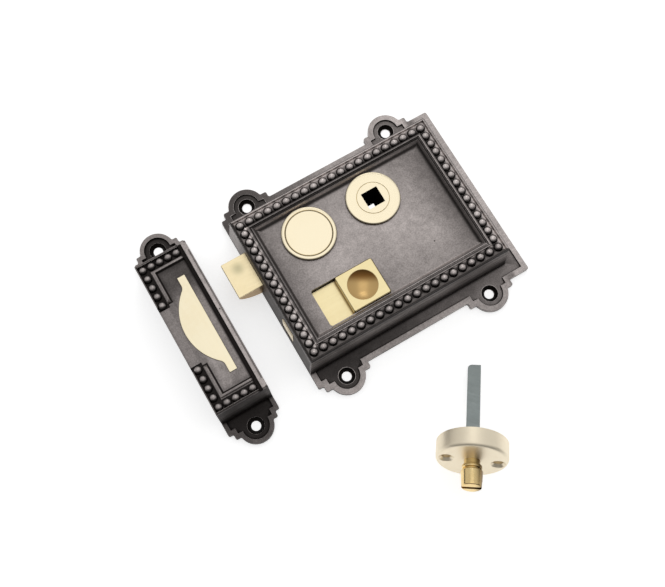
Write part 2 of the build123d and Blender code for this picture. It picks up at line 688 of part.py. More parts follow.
def keep_lugs():
    return [(0, -KEEP_LUG_Y), (0, KEEP_LUG_Y)]


def keep_bead_points():
    """Beads along both ends of the keep and a little way up the side."""
    x0 = -KEEP_W / 2 + KEEP_DRAFT_X + KEEP_BEAD_IN_X
    half = KEEP_H / 2 - KEEP_DRAFT_Y - KEEP_BEAD_IN_Y
    points = []
    for side in (-1, 1):
        for i in range(KEEP_BEAD_COLS + 1):
            points.append((x0 + i * KEEP_BEAD_PITCH, side * half))
        for j in range(1, KEEP_BEAD_RUN):
            points.append((x0, side * (half - j * KEEP_BEAD_STEP)))
    return points


def keep_face_cuts():
    """Bead channels, sunk panel and the long quirk beside the lip."""
    half_w = KEEP_W / 2 - KEEP_DRAFT_X
    half_h = KEEP_H / 2 - KEEP_DRAFT_Y
    quirk1 = half_w - KEEP_QUIRK_IN + KEEP_QUIRK_W
    quirk0 = half_w - KEEP_QUIRK_IN
    floor = CASE_D - CHANNEL_DEPTH
    top = CASE_D + 1
    cuts = []
    x0 = -half_w + KEEP_BEAD_IN_X - KEEP_CHANNEL_OUT
    x1 = -half_w + KEEP_BEAD_IN_X + KEEP_CHANNEL_INW
    end = half_h - KEEP_BEAD_IN_Y + KEEP_CHANNEL_OUT
    run = half_h - KEEP_BEAD_IN_Y - (KEEP_BEAD_RUN - 0.5) * KEEP_BEAD_STEP
    for side in (-1, 1):
        y0, y1 = sorted((side * end, side * (half_h - KEEP_BEAD_IN_Y - KEEP_CHANNEL_INW)))
        cuts.append(block(x0, quirk0, y0, y1, floor, top))
        y0, y1 = sorted((side * end, side * run))
        cuts.append(block(x0, x1, y0, y1, floor, top))
    x0 = -half_w + KEEP_FRAME_IN
    half = half_h - KEEP_FRAME_IN
    panel = Pos((x0 + quirk0) / 2, 0) * Rectangle(quirk0 - x0, 2 * half)
    tongue = Pos(x0 - KEEP_FRAME_IN / 2, 0) * Rectangle(KEEP_FRAME_IN + 2, 2 * KEEP_OPEN_HALF)
    sunk = panel + tongue
    inner = [v for v in sunk.vertices() if abs(v.X - x0) < 0.01 and abs(v.Y) < half - 1]
    sunk = fillet(inner, 3.0)
    level = CASE_D - KEEP_PANEL_SINK
    lean = math.degrees(math.atan2(KEEP_SLOPE, KEEP_PANEL_SINK))
    cuts.append(extrude(Pos(0, 0, level) * sunk, KEEP_PANEL_SINK, taper=-lean))
    cuts.append(block(quirk0, quirk1, -half_h - 1, half_h + 1, CASE_D - KEEP_QUIRK_DEPTH, top))
    return cuts


def strike_outline(grow):
    """Crescent with a straight edge and a tab at each end."""
    belly = STRIKE_EDGE - STRIKE_BELLY
    centre = belly + STRIKE_R
    shape = Pos(centre, 0) * Circle(STRIKE_R + grow)
    width = STRIKE_BELLY + 1
    keep_side = Pos(STRIKE_EDGE + grow - width / 2, 0) * Rectangle(width, STRIKE_H + 2 * grow)
    crescent = shape & keep_side
    lower = STRIKE_EDGE - STRIKE_TAB_W
    arc_end = math.sqrt((STRIKE_R + grow) ** 2 - (centre - lower + grow) ** 2)
    crescent = crescent & Rectangle(4 * STRIKE_R, 2 * arc_end + 0.2)
    tabs = Pos(STRIKE_EDGE - STRIKE_TAB_W / 2, 0) * Rectangle(
        STRIKE_TAB_W + 2 * grow, STRIKE_H + 2 * grow)
    shape = crescent + tabs
    inner = [v for v in shape.vertices() if abs(v.X - lower + grow) < 0.01 and abs(v.Y) < arc_end + 1]
    return fillet(inner, STRIKE_SWEEP - grow)


def strike_z():
    top = CASE_D - KEEP_PANEL_SINK + STRIKE_PROUD
    return top - STRIKE_T, top


def strike_rivet_places():
    x = STRIKE_EDGE - STRIKE_BELLY / 2
    return [(x, -STRIKE_RIVET_Y), (x, STRIKE_RIVET_Y)]


def keep_place():
    return Pos(KEEP_X, KEEP_Y, 0)


def make_keep_body():
    """Box casting, open to the back and towards the bolts."""
    half_h = KEEP_H / 2 + KEEP_FLANGE
    plan = (-KEEP_W / 2, KEEP_W / 2, half_h, keep_lugs(), KEEP_LUG_R,
            KEEP_SHOULDER_W, KEEP_SHOULDER_OUT)
    body = bordered_plate(plan, KEEP_BORDER_W, KEEP_BORDER_SINK)
    body += block(-KEEP_W / 2, KEEP_W / 2, -KEEP_H / 2, KEEP_H / 2, 0, PLATE_T)
    foot = Pos(0, 0, PLATE_T) * Rectangle(KEEP_W, KEEP_H)
    rim = Rectangle(KEEP_W - 2 * KEEP_DRAFT_X, KEEP_H - 2 * KEEP_DRAFT_Y)
    body += loft([foot, Pos(0, 0, CASE_D) * rim])
    body -= keep_face_cuts()
    room_w = KEEP_W / 2 - KEEP_WALL
    room_h = KEEP_H / 2 - KEEP_WALL - KEEP_DRAFT_Y
    roof = CASE_D - KEEP_ROOF
    body -= block(-room_w, room_w, -room_h, room_h, -1, roof)
    mouth = KEEP_MOUTH_H / 2
    body -= block(room_w - 1, KEEP_W / 2 + 1, -mouth, mouth, KEEP_BAR_T, roof)
    body -= wood_screw_holes(keep_lugs(), PLATE_T - KEEP_BORDER_SINK)
    z0, z1 = strike_z()
    body -= Pos(0, 0, z0) * extrude(strike_outline(SEAT), 5)
    for x, y in strike_rivet_places():
        body -= rod(x, y, roof - 1, z0 + 1, STRIKE_RIVET_D / 2 + SHANK)
    body += beads(keep_bead_points(), CASE_D, KEEP_BEAD_D)
    return keep_place() * body


def make_keep_strike():
    z0, z1 = strike_z()
    return keep_place() * Pos(0, 0, z0) * extrude(strike_outline(0), z1 - z0)


def make_keep_strike_rivets():
    """Two studs of the strike, closed over inside the keep."""
    z0, z1 = strike_z()
    roof = CASE_D - KEEP_ROOF
    studs = []
    for x, y in strike_rivet_places():
        stud = rod(x, y, roof - 1, z0, STRIKE_RIVET_D / 2)
        stud += rod(x, y, roof - 1, roof, STRIKE_RIVET_HEAD / 2)
        studs.append(keep_place() * stud)
    return studs


def release_tilt():
    """Slope of the release when its rim and the tip of its tail touch the table."""
    roll = math.radians(TURN_ROLL)
    under = (TAILBAR_W * math.sin(roll) + TAILBAR_T * math.cos(roll)) / 2
    return math.degrees(math.atan2(RELEASE_R - under, TAILBAR_L))


def release_place(roll):
    """Frame of the release: Z out of its face, origin at the middle of its back."""
    tilt = math.radians(release_tilt())
    aim = math.radians(RELEASE_AIM)
    level = RELEASE_R * math.cos(tilt)
    ahead = RELEASE_T * math.cos(tilt)
    x = RELEASE_X - ahead * math.cos(aim)
    y = RELEASE_Y - ahead * math.sin(aim)
    spin = Rot(0, 0, RELEASE_AIM + 90) * Rot(90 - release_tilt(), 0, 0) * Rot(0, 0, roll)
    return Pos(x, y, level) * spin


def make_release_rose():
    rose = rod(0, 0, 0, RELEASE_T, RELEASE_R)
    rose = fillet(rose.edges().group_by(Axis.Z)[-1], RELEASE_ROUND)
    rose -= rod(0, 0, -1, RELEASE_T + 1, TURN_SHAFT_R + RUN)
    rose -= rod(0, 0, -1, 2 * WASHER_T, WASHER_R + SLIDE)
    depth = (RELEASE_HEAD_D - RELEASE_HOLE_D) / 2
    for x in (-RELEASE_SCREWS / 2, RELEASE_SCREWS / 2):
        rose -= rod(x, 0, -1, RELEASE_T + 1, RELEASE_HOLE_D / 2)
        rose -= taper(x, 0, RELEASE_T - depth, RELEASE_T, RELEASE_HOLE_D / 2, RELEASE_HEAD_D / 2)
    return release_place(RELEASE_ROLL) * rose


def make_release_turn():
    """Slotted boss with its shaft through the rose."""
    ring = RELEASE_T + TURN_NECK_L
    waist = ring + TURN_RING_L
    body = waist + TURN_WAIST_L
    tip = RELEASE_T + TURN_OUT
    turn = rod(0, 0, -TURN_BEHIND, ring, TURN_SHAFT_R)
    collar = rod(0, 0, ring, waist, TURN_RING_R)
    turn += fillet(collar.edges().filter_by(GeomType.CIRCLE), TURN_RING_L / 3)
    turn += rod(0, 0, waist - TURN_RING_L / 2, body + 1, TURN_WAIST_R)
    head = taper(0, 0, body, tip, TURN_BASE_R, TURN_TIP_R)
    turn += fillet(head.edges().filter_by(GeomType.CIRCLE), 0.6)
    half = TURN_BASE_R + 1
    slot_w = COIN_SLOT_W / 2
    turn -= block(-half, half, -slot_w, slot_w, tip - COIN_SLOT_DEPTH, tip + 1)
    turn -= block(-TAILBAR_W / 2 - 1, TAILBAR_W / 2 + 1, -TAILBAR_T / 2, TAILBAR_T / 2,
                  -TURN_BEHIND - 1, -TURN_BEHIND + TAILBAR_IN)
    groove = rod(0, 0, WASHER_T / 2, WASHER_T * 1.5, TURN_SHAFT_R + 1)
    groove -= rod(0, 0, 0, WASHER_T * 2, TURN_SHAFT_R - WASHER_GROOVE)
    turn -= groove
    pin_z = -TURN_BEHIND + TAILBAR_IN / 2
    turn -= Pos(0, 0, pin_z) * Cylinder(TAIL_PIN_R, 4 * TURN_SHAFT_R, rotation=(90, 0, 0))
    return release_place(TURN_ROLL) * turn


def make_release_washer():
    z0, z1 = WASHER_T / 2, WASHER_T * 1.5
    washer = rod(0, 0, z0, z1, WASHER_R)
    return release_place(TURN_ROLL) * (washer - rod(0, 0, -1, 3, TURN_SHAFT_R - WASHER_GROOVE + SHANK))


def make_release_tail():
    """Flat bar cut to the thickness of the door, one corner of its end rounded."""
    z0 = -TAILBAR_L
    z1 = -TURN_BEHIND + TAILBAR_IN
    w = TAILBAR_W / 2
    bar = block(-w, w, -TAILBAR_T / 2, TAILBAR_T / 2, z0, z1)
    corner = [e for e in bar.edges().filter_by(Axis.Y) if e.center().Z < z0 + 1 and e.center().X < 0]
    bar = fillet(corner, TAILBAR_W / 3)
    pin_z = -TURN_BEHIND + TAILBAR_IN / 2
    bar -= Pos(0, 0, pin_z) * Cylinder(TAIL_PIN_R, 4 * TURN_SHAFT_R, rotation=(90, 0, 0))
    return release_place(TURN_ROLL) * bar


def make_release_tail_pin():
    pin_z = -TURN_BEHIND + TAILBAR_IN / 2
    reach = 2 * math.sqrt(TURN_SHAFT_R ** 2 - TAIL_PIN_R ** 2)
    pin = Cylinder(TAIL_PIN_R - SHANK, reach, rotation=(90, 0, 0))
    return release_place(TURN_ROLL) * Pos(0, 0, pin_z) * pin


MAKERS = {
    "case_body": make_case_body,
    "back_plate": make_back_plate,
    "back_plate_screws": make_back_plate_screws,
    "follower_rose": make_follower_rose,
    "follower": make_follower,
    "blank_disc": make_blank_disc,
    "blank_disc_washer": make_blank_disc_washer,
    "latch_bolt": make_latch_bolt,
    "latch_tail": make_latch_tail,
    "latch_rivets": make_latch_rivets,
    "latch_spring": make_latch_spring,
    "snib_button": make_snib_button,
    "snib_slide": make_snib_slide,
    "snib_rivets": make_snib_rivets,
    "privacy_bolt": make_privacy_bolt,
    "privacy_bolt_rivets": make_privacy_rivets,
    "snib_spring": make_snib_spring,
    "snib_spring_screws": make_snib_spring_screws,
    "release_cam": make_release_cam,
    "keep_body": make_keep_body,
    "keep_strike": make_keep_strike,
    "keep_strike_rivets": make_keep_strike_rivets,
    "release_rose": make_release_rose,
    "release_turn": make_release_turn,
    "release_washer": make_release_washer,
    "release_tail": make_release_tail,
    "release_tail_pin": make_release_tail_pin,
}


def main():
    os.makedirs("parts", exist_ok=True)
    for name, maker in MAKERS.items():
        shape = maker()
        if isinstance(shape, list):
            shape = Compound(children=[s.solid() for s in shape])
        export_step(shape, f"parts/{name}.step")
    print("cam ratio m/rad", SNIB_TRAVEL / 1000 / math.radians(2 * CAM_SWING))
    print("follower turn", 2 * ARM_SWEPT)
    print("follower ratio m/rad", LATCH_TRAVEL / 1000 / math.radians(2 * ARM_SWEPT))
    print("release tilt", release_tilt())


main()
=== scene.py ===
# Looks of the rim latch, its keep and its coin release, around the imported frame.
# Lengths are in metres, and MM turns millimetres into metres. The sizes that are named without it
# are in millimetres, and so are the places and heights at which the burnishing, the painted light
# and shade, or a colour changes.
import json
import math

import bmesh
import bpy
import numpy as np
from mathutils import Euler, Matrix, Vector

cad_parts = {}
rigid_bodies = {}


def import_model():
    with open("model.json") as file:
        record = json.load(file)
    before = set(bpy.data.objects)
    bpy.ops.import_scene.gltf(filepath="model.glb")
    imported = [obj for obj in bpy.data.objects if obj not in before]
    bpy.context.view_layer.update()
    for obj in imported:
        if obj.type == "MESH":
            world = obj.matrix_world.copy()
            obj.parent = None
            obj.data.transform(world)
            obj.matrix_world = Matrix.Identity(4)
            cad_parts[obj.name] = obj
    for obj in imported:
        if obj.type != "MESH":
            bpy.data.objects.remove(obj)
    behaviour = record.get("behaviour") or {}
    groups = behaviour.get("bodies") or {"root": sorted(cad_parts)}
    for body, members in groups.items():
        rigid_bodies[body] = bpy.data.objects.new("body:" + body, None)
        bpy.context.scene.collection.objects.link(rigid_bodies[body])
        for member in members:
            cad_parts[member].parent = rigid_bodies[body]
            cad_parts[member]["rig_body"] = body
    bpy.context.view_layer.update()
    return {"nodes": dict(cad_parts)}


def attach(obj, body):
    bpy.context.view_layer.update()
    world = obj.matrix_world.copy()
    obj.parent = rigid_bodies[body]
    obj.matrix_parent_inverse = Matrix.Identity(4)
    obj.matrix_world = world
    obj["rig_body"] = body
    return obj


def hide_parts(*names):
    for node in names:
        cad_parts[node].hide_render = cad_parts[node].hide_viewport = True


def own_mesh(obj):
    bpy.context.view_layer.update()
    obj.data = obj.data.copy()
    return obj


MM = 0.001
FLOOR_Z = -0.04 * MM

# Case: half sizes of its panel, heights, and the lines, number and step of its beads
PANEL_HALF_X = 42.8
PANEL_HALF_Y = 28.1
PANEL_Z = 21.9
RIM_Z = 23.5
BEAD_ROW_X = 48.5
BEAD_ROW_Y = 33.8
TOP_BEADS = 21
SIDE_BEADS = 16
SIDE_BEAD_STEP = 4.507
BEAD_R = 2.2

# A casting is plate below this height, and past this line is the wall nearest the camera.
PLATE_LIMIT_Z = 3.1
NEAR_WALL_Y = -37.0

# Keep: its panel runs out through the middle of the side away from the bolts
KEEP_MIDDLE_X = -86.3
KEEP_MIDDLE_Y = 1.5
KEEP_PANEL_X = -91.4
KEEP_PANEL_HALF_Y = 30.8
KEEP_QUIRK_X = -77.6
KEEP_ROW_X = -96.6
KEEP_ROW_HALF_Y = 35.6
KEEP_ROW_LENGTH = 18.8
KEEP_BEAD_STEP = 4.25
KEEP_BEAD_R = 2.01

# Countersinks, from the middle of case or keep, and the pit in each casting
CASE_SCREW = (39.1, 47.5)
KEEP_SCREW = (0.0, 47.85)
SINK_R = 4.1
CASE_PIT = (24.85, -16.69)
KEEP_PIT = (-75.0, 4.0)
PIT_R = 0.45

# Discs on the case's face: one is a flanged bush, the other has a ring cut into it and a stem
DISC_R = 12.7
DISC_TOP_Z = 23.4
DISC_ROLL_R = 0.55
BUSH_BORE_R = 7.56
BUSH_NECK_R = 9.45
BUSH_END_Z = 18.9
RING_R = 10.85
STEM_R = 2.5
STEM_END_Z = 17.5

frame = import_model()
nodes = frame["nodes"]


def at(x, y, z=0.0):
    """Place in metres from millimetres."""
    return (x * MM, y * MM, z * MM)


def link(made):
    """Put an object into the scene."""
    bpy.context.scene.collection.objects.link(made)
    return made


ROSE_CENTRE = at(11.0, 14.9)
BLANK_CENTRE = at(-23.0, 14.9)
DIMPLE = at(-14.25, -18.3)
BUTTON_EDGE = at(-23.8, -18.3)
SMUDGE = at(-58.6, 18.6)
BOSS = at(-12.9, -109.2)


# Camera, floor and light

def place_camera():
    """Camera of the photograph: nearly straight above, turned by thirty degrees."""
    data = bpy.data.cameras.new("photo_camera")
    data.sensor_width = 36.0
    data.lens = 51.125
    camera = link(bpy.data.objects.new("photo_camera", data))
    camera.location = (-0.08714, -0.10573, 0.43167)
    angles = [math.radians(a) for a in (14.816, -0.728, -30.317)]
    camera.rotation_euler = Euler(angles, "XYZ")
    bpy.context.scene.camera = camera


def softbox(name, place, target, size, radiance):
    """Rectangular soft light whose face has the given brightness."""
    data = bpy.data.lights.new(name, "AREA")
    data.shape = "RECTANGLE"
    data.size, data.size_y = size
    data.energy = radiance * math.pi * size[0] * size[1]
    lamp = link(bpy.data.objects.new(name, data))
    lamp.location = place
    aim = Vector(target) - Vector(place)
    lamp.rotation_mode = "QUATERNION"
    lamp.rotation_quaternion = aim.to_track_quat("-Z", "Y")


def light_world(dim, bright):
    """Surroundings that grow from dim to bright towards the top of the picture and overhead."""
    world = bpy.data.worlds.new("studio")
    world.use_nodes = True
    t = Tree(world.node_tree)
    shade = world.node_tree.nodes["Background"]
    way = t.node("ShaderNodeTexCoord").outputs["Generated"]
    rise = t.vector("DOT_PRODUCT", way, (0.40, 0.68, 0.62))
    shade.inputs["Color"].default_value = (1.0, 1.0, 1.0, 1.0)
    t.feed(shade.inputs["Strength"], t.span(rise, -0.35, 0.55, dim, bright))
    bpy.context.scene.world = world


# Node trees

class Tree:
    """Shorthand for building a node tree."""

    def __init__(self, tree):
        self.tree = tree

    def node(self, kind, sockets=None, **settings):
        made = self.tree.nodes.new(kind)
        for key, value in settings.items():
            setattr(made, key, value)
        for key, value in (sockets or {}).items():
            self.feed(made.inputs[key], value)
        return made

    def feed(self, socket, value):
        if isinstance(value, bpy.types.NodeSocket):
            self.tree.links.new(value, socket)
        else:
            socket.default_value = value

    def math(self, operation, a, b=0.0, clamp=False):
        made = self.node("ShaderNodeMath", {0: a, 1: b}, operation=operation)
        made.use_clamp = clamp
        return made.outputs[0]

    def times(self, first, *others):
        """Product of levels."""
        for other in others:
            first = self.math("MULTIPLY", first, other)
        return first

    def above(self, value, limit):
        """One where the value is over the limit, else zero."""
        return self.math("GREATER_THAN", value, limit)

    def below(self, value, limit):
        """One where the value is under the limit, else zero."""
        return self.math("LESS_THAN", value, limit)

    def off(self, value, middle):
        """How far a value is from a middle."""
        return self.math("ABSOLUTE", self.math("SUBTRACT", value, middle))

    def vector(self, operation, a, b=(0.0, 0.0, 0.0)):
        """Sum on vectors; a dot product or a length gives a level."""
        made = self.node("ShaderNodeVectorMath", {0: a, 1: b}, operation=operation)
        return made.outputs["Value" if operation in ("DOT_PRODUCT", "LENGTH") else "Vector"]

    def span(self, value, low, high, to_low=0.0, to_high=1.0):
        """Level that goes from one to another while a value goes from low to high, smoothly."""
        sockets = {0: value, 1: low, 2: high, 3: to_low, 4: to_high}
        return self.node("ShaderNodeMapRange", sockets, interpolation_type="SMOOTHSTEP").outputs[0]

    def mix(self, factor, a, b, clamp=True):
        """Colour between two others, or past them if it isn't clamped."""
        made = self.node("ShaderNodeMix", {0: factor, 6: a, 7: b}, data_type="RGBA",
                         clamp_factor=clamp)
        return made.outputs[2]

    def between(self, factor, a, b):
        """Level between two others."""
        return self.node("ShaderNodeMix", {0: factor, 2: a, 3: b}).outputs[0]

    def noise(self, vector, scale, detail=4.0, roughness=0.5):
        sockets = {"Vector": vector, "Scale": scale, "Detail": detail, "Roughness": roughness}
        return self.node("ShaderNodeTexNoise", sockets).outputs[0]

    def ramp(self, value, stops):
        """Level that follows a value through its stops, each a value and a level, in order."""
        low, high = stops[0][0], stops[-1][0]
        part = self.math("DIVIDE", self.math("SUBTRACT", value, low), high - low)
        made = self.node("ShaderNodeValToRGB", {0: part})
        marks = made.color_ramp.elements
        for place, _ in stops[1:-1]:
            marks.new((place - low) / (high - low))
        for mark, (_, level) in zip(marks, stops):
            mark.color = (level, level, level, 1.0)
        return made.outputs[0]

    def place(self):
        return self.node("ShaderNodeTexCoord").outputs["Object"]

    def along(self, axis):
        """Place along one axis, in millimetres."""
        split = self.node("ShaderNodeSeparateXYZ", {0: self.place()})
        return self.times(split.outputs[axis], 1000.0)


def new_group(name, inputs, outputs):
    """Empty node group with named inputs and outputs."""
    group = bpy.data.node_groups.new(name, "ShaderNodeTree")
    for label, kind, value in inputs:
        socket = group.interface.new_socket(label, in_out="INPUT", socket_type=kind)
        socket.default_value = value
    for label, kind in outputs:
        group.interface.new_socket(label, in_out="OUTPUT", socket_type=kind)
    tree = Tree(group)
    return group, tree, tree.node("NodeGroupInput"), tree.node("NodeGroupOutput")


def use_group(tree, group, values=None):
    """Node that uses a group, with some of its inputs set or fed."""
    made = tree.node("ShaderNodeGroup", node_tree=group)
    for key, value in (values or {}).items():
        tree.feed(made.inputs[key], value)
    return made


FLOAT = "NodeSocketFloat"
VECTOR = "NodeSocketVector"


def patina_group():
    """Slow cloudy change in how far a metal is burnished, with finer mottling on it."""
    group, t, given, result = new_group(
        "patina", [("Coarse", FLOAT, 28.0), ("Fine", FLOAT, 330.0)], [("Cloud", FLOAT)])
    place = t.place()
    cloud = t.span(t.noise(place, given.outputs["Coarse"], 3.0, 0.6), 0.3, 0.7)
    mottle = t.span(t.noise(place, given.outputs["Fine"], 5.0, 0.65), 0.3, 0.7)
    both = t.math("ADD", t.times(cloud, 0.62), t.times(mottle, 0.38))
    t.feed(result.inputs["Cloud"], both)
    return group


def cast_skin_group():
    """Normal of a sand-cast skin: grains of half a millimetre and shallow hollows."""
    group, t, given, result = new_group(
        "cast_skin", [("Strength", FLOAT, 0.3)], [("Normal", VECTOR)])
    place = t.place()
    grains = t.noise(place, 1500.0, 3.0, 0.6)
    hollows = t.noise(place, 260.0, 2.0, 0.5)
    height = t.math("ADD", t.times(grains, 0.35), hollows)
    bump = t.node("ShaderNodeBump", {"Strength": given.outputs["Strength"],
                                     "Distance": 0.0003, "Height": height})
    t.feed(result.inputs["Normal"], bump.outputs["Normal"])
    return group


def polish_group():
    """Fine straight lines of a polishing wheel, turned in the plane of the face."""
    group, t, given, result = new_group(
        "polish_lines", [("Across", FLOAT, 1800.0), ("Along", FLOAT, 40.0), ("Turn", FLOAT, 0.0)],
        [("Lines", FLOAT)])
    spin = t.node("ShaderNodeVectorRotate", {"Vector": t.place(), "Angle": given.outputs["Turn"]},
                  rotation_type="Z_AXIS").outputs[0]
    scale = t.node("ShaderNodeCombineXYZ", {"X": given.outputs["Along"],
                                            "Y": given.outputs["Across"], "Z": 200.0}).outputs[0]
    stretched = t.vector("MULTIPLY", spin, scale)
    t.feed(result.inputs["Lines"], t.noise(stretched, 1.0, 3.0, 0.6))
    return group


def streaks_group():
    """Level streaks along the sides of a casting, as a file or a cloth leaves them."""
    group, t, _, result = new_group("level_streaks", [], [("Lines", FLOAT)])
    flat = t.vector("MULTIPLY", t.place(), (70.0, 70.0, 1300.0))
    t.feed(result.inputs["Lines"], t.noise(flat, 1.0, 3.0, 0.6))
    return group


def turning_group():
    """Circles left by a lathe, round an upright axis: noise of the distance from it."""
    group, t, given, result = new_group(
        "turning_lines", [("Centre", VECTOR, (0, 0, 0))], [("Lines", FLOAT), ("Radius", FLOAT)])
    away = t.vector("SUBTRACT", t.place(), given.outputs["Centre"])
    radius = t.vector("LENGTH", t.vector("MULTIPLY", away, (1.0, 1.0, 0.0)))
    along = t.node("ShaderNodeCombineXYZ", {"X": t.times(radius, 2600.0)}).outputs[0]
    t.feed(result.inputs["Lines"], t.noise(along, 1.0, 2.0, 0.7))
    t.feed(result.inputs["Radius"], radius)
    return group


def holes_group():
    """Mask of four round places set evenly about a centre, or of one where Corner is zero."""
    group, t, given, result = new_group(
        "round_places", [("Centre", VECTOR, (0, 0, 0)), ("Corner", VECTOR, (0, 0, 0)),
                         ("Radius", FLOAT, 0.004), ("Soft", FLOAT, 0.0003)], [("Mask", FLOAT)])
    away = t.vector("SUBTRACT", t.place(), given.outputs["Centre"])
    left = t.vector("SUBTRACT", t.vector("ABSOLUTE", away), given.outputs["Corner"])
    reach = t.vector("LENGTH", t.vector("MULTIPLY", left, (1.0, 1.0, 0.0)))
    room = t.math("SUBTRACT", given.outputs["Radius"], reach)
    mask = t.span(t.math("DIVIDE", room, given.outputs["Soft"]), 0.0, 1.0)
    t.feed(result.inputs["Mask"], mask)
    return group


def bands_group(name, stops):
    """Burnish and painted shade of plate and walls by height."""
    group, t, _, result = new_group(name, [], [("Level", FLOAT)])
    t.feed(result.inputs["Level"], t.ramp(t.along("Z"), stops))
    return group


# Burnish and painted shade by height, each stop a height and a level: plate with its border,
# walls, start of the face. The riser of the border and the foot of the walls are painted dark as
# shade.
CASE_HEIGHTS = [
    (0.0, 0.10), (2.12, 0.30), (2.3, 0.02), (2.85, 0.06), (2.97, 0.62), (3.2, 0.05), (6.0, 0.12),
    (12.0, 0.17), (17.0, 0.20), (19.5, 0.25), (20.5, 0.36), (22.0, 0.40), (25.0, 0.3)]
KEEP_HEIGHTS = [
    (0.0, 0.10), (1.72, 0.12), (2.0, 0.02), (2.85, 0.06), (2.97, 0.40), (3.2, 0.03), (6.0, 0.04),
    (17.0, 0.08), (21.0, 0.14), (22.0, 0.30), (25.0, 0.3)]

# Burnish and painted light and shade across the four sides of the case's face, by the distance
# inwards from the panel's edge: wall, rim from -9.1, bead channel from -8.4, ridge from -3.5,
# quirk, inner ridge, slope from -1.1, panel from 0. Channel and quirk are painted black as shade,
# ridges and slopes carry painted highlights, and each side has its own run, as each is seen in
# another light.
BOLT_SIDE = [
    (-10.0, 0.25), (-9.6, 0.22), (-9.2, 0.12), (-9.0, 0.07), (-8.5, 0.07), (-8.2, 0.12),
    (-7.7, 0.45), (-5.2, 0.22), (-4.9, 0.3), (-4.4, 0.6), (-3.6, 1.1), (-3.4, 0.52),
    (-3.0, 0.40), (-2.75, 0.26), (-2.45, 0.35), (-2.2, 0.52), (-1.95, 0.58), (-1.7, 0.42),
    (-1.45, 0.27), (-1.2, 0.12), (-0.9, 0.09), (-0.7, 0.13), (-0.45, 0.30), (-0.2, 0.42),
    (0.1, 0.44), (1.0, 0.45), (2.0, 0.49), (5.0, 0.60)]
TOP_SIDE = [
    (-10.0, 0.05), (-9.15, 0.05), (-9.0, 0.30), (-8.75, 0.46), (-8.5, 1.15), (-7.9, 1.6),
    (-7.6, 0.8), (-7.1, 0.45), (-5.6, 0.36), (-5.0, 0.15), (-4.6, 0.03), (-3.6, 0.03),
    (-3.3, 0.08), (-2.95, 0.36), (-2.6, 0.45), (-2.3, 0.40), (-2.0, 0.04), (-1.45, 0.02),
    (-1.25, 0.06), (-1.1, 0.26), (-0.92, 1.1), (-0.78, 1.6), (-0.4, 1.6), (-0.22, 0.9),
    (-0.05, 0.30), (0.12, 0.05), (0.8, 0.05), (1.3, 0.26), (1.7, 0.50), (2.2, 0.58), (5.0, 0.60)]
FAR_SIDE = [
    (-10.0, 0.50), (-9.2, 0.50), (-9.0, 0.58), (-8.5, 0.75), (-8.2, 1.4), (-7.9, 1.6),
    (-7.6, 1.1), (-7.2, 0.7), (-6.9, 0.5), (-5.4, 0.25), (-4.9, 0.18), (-4.5, 0.07),
    (-3.8, 0.11), (-3.4, 0.30), (-3.1, 0.42), (-2.6, 0.88), (-2.3, 1.0), (-2.15, 0.24),
    (-1.95, 0.03), (-1.5, 0.03), (-1.2, 0.14), (-0.95, 0.45), (-0.75, 0.70), (-0.4, 0.28),
    (-0.05, 0.08), (0.2, 0.05), (0.6, 0.14), (1.1, 0.33), (1.7, 0.45), (5.0, 0.58)]
LOW_SIDE = [
    (-10.0, 0.02), (-9.1, 0.02), (-8.95, 0.06), (-8.45, 0.21), (-7.9, 0.31), (-7.2, 0.28),
    (-6.7, 0.14), (-4.9, 0.10), (-4.1, 0.38), (-3.8, 0.90), (-3.5, 0.95), (-3.25, 0.38),
    (-3.0, 0.18), (-2.7, 0.20), (-2.4, 0.42), (-2.15, 1.2), (-1.85, 1.3), (-1.65, 0.42),
    (-1.45, 0.22), (-1.2, 0.26), (-0.95, 0.58), (-0.65, 1.0), (-0.3, 1.05), (0.05, 0.78),
    (0.35, 0.58), (0.7, 0.55), (2.0, 0.56), (3.0, 0.60), (5.0, 0.58)]

# The same for the keep's moulded sides: wall, rim, bead channel, moulding, slope and panel, with
# the channel and the foot of the slope painted black as shade. Then by X, beside the bolts: painted
# shade beside and in the quirk, and the lip with its painted highlight and its dark outer line.
KEEP_SIDE = [
    (-9.0, 0.25), (-7.9, 0.25), (-7.75, 0.70), (-7.55, 0.32), (-7.2, 0.28), (-7.0, 0.04),
    (-2.6, 0.04), (-2.35, 0.55), (-1.6, 0.42), (-0.95, 0.62), (-0.75, 0.04), (-0.1, 0.04),
    (0.05, 0.34), (1.0, 0.5)]
KEEP_LIP = [
    (-84.0, 1.0), (-80.5, 1.25), (-78.8, 1.35), (-78.3, 0.8), (-77.9, 0.16), (-77.6, 0.04),
    (-76.1, 0.04), (-75.9, 0.95), (-75.2, 1.0), (-74.5, 0.85), (-74.3, 0.35), (-74.05, 0.30),
    (-73.9, 0.6), (-73.5, 0.6), (-72.0, 0.3)]


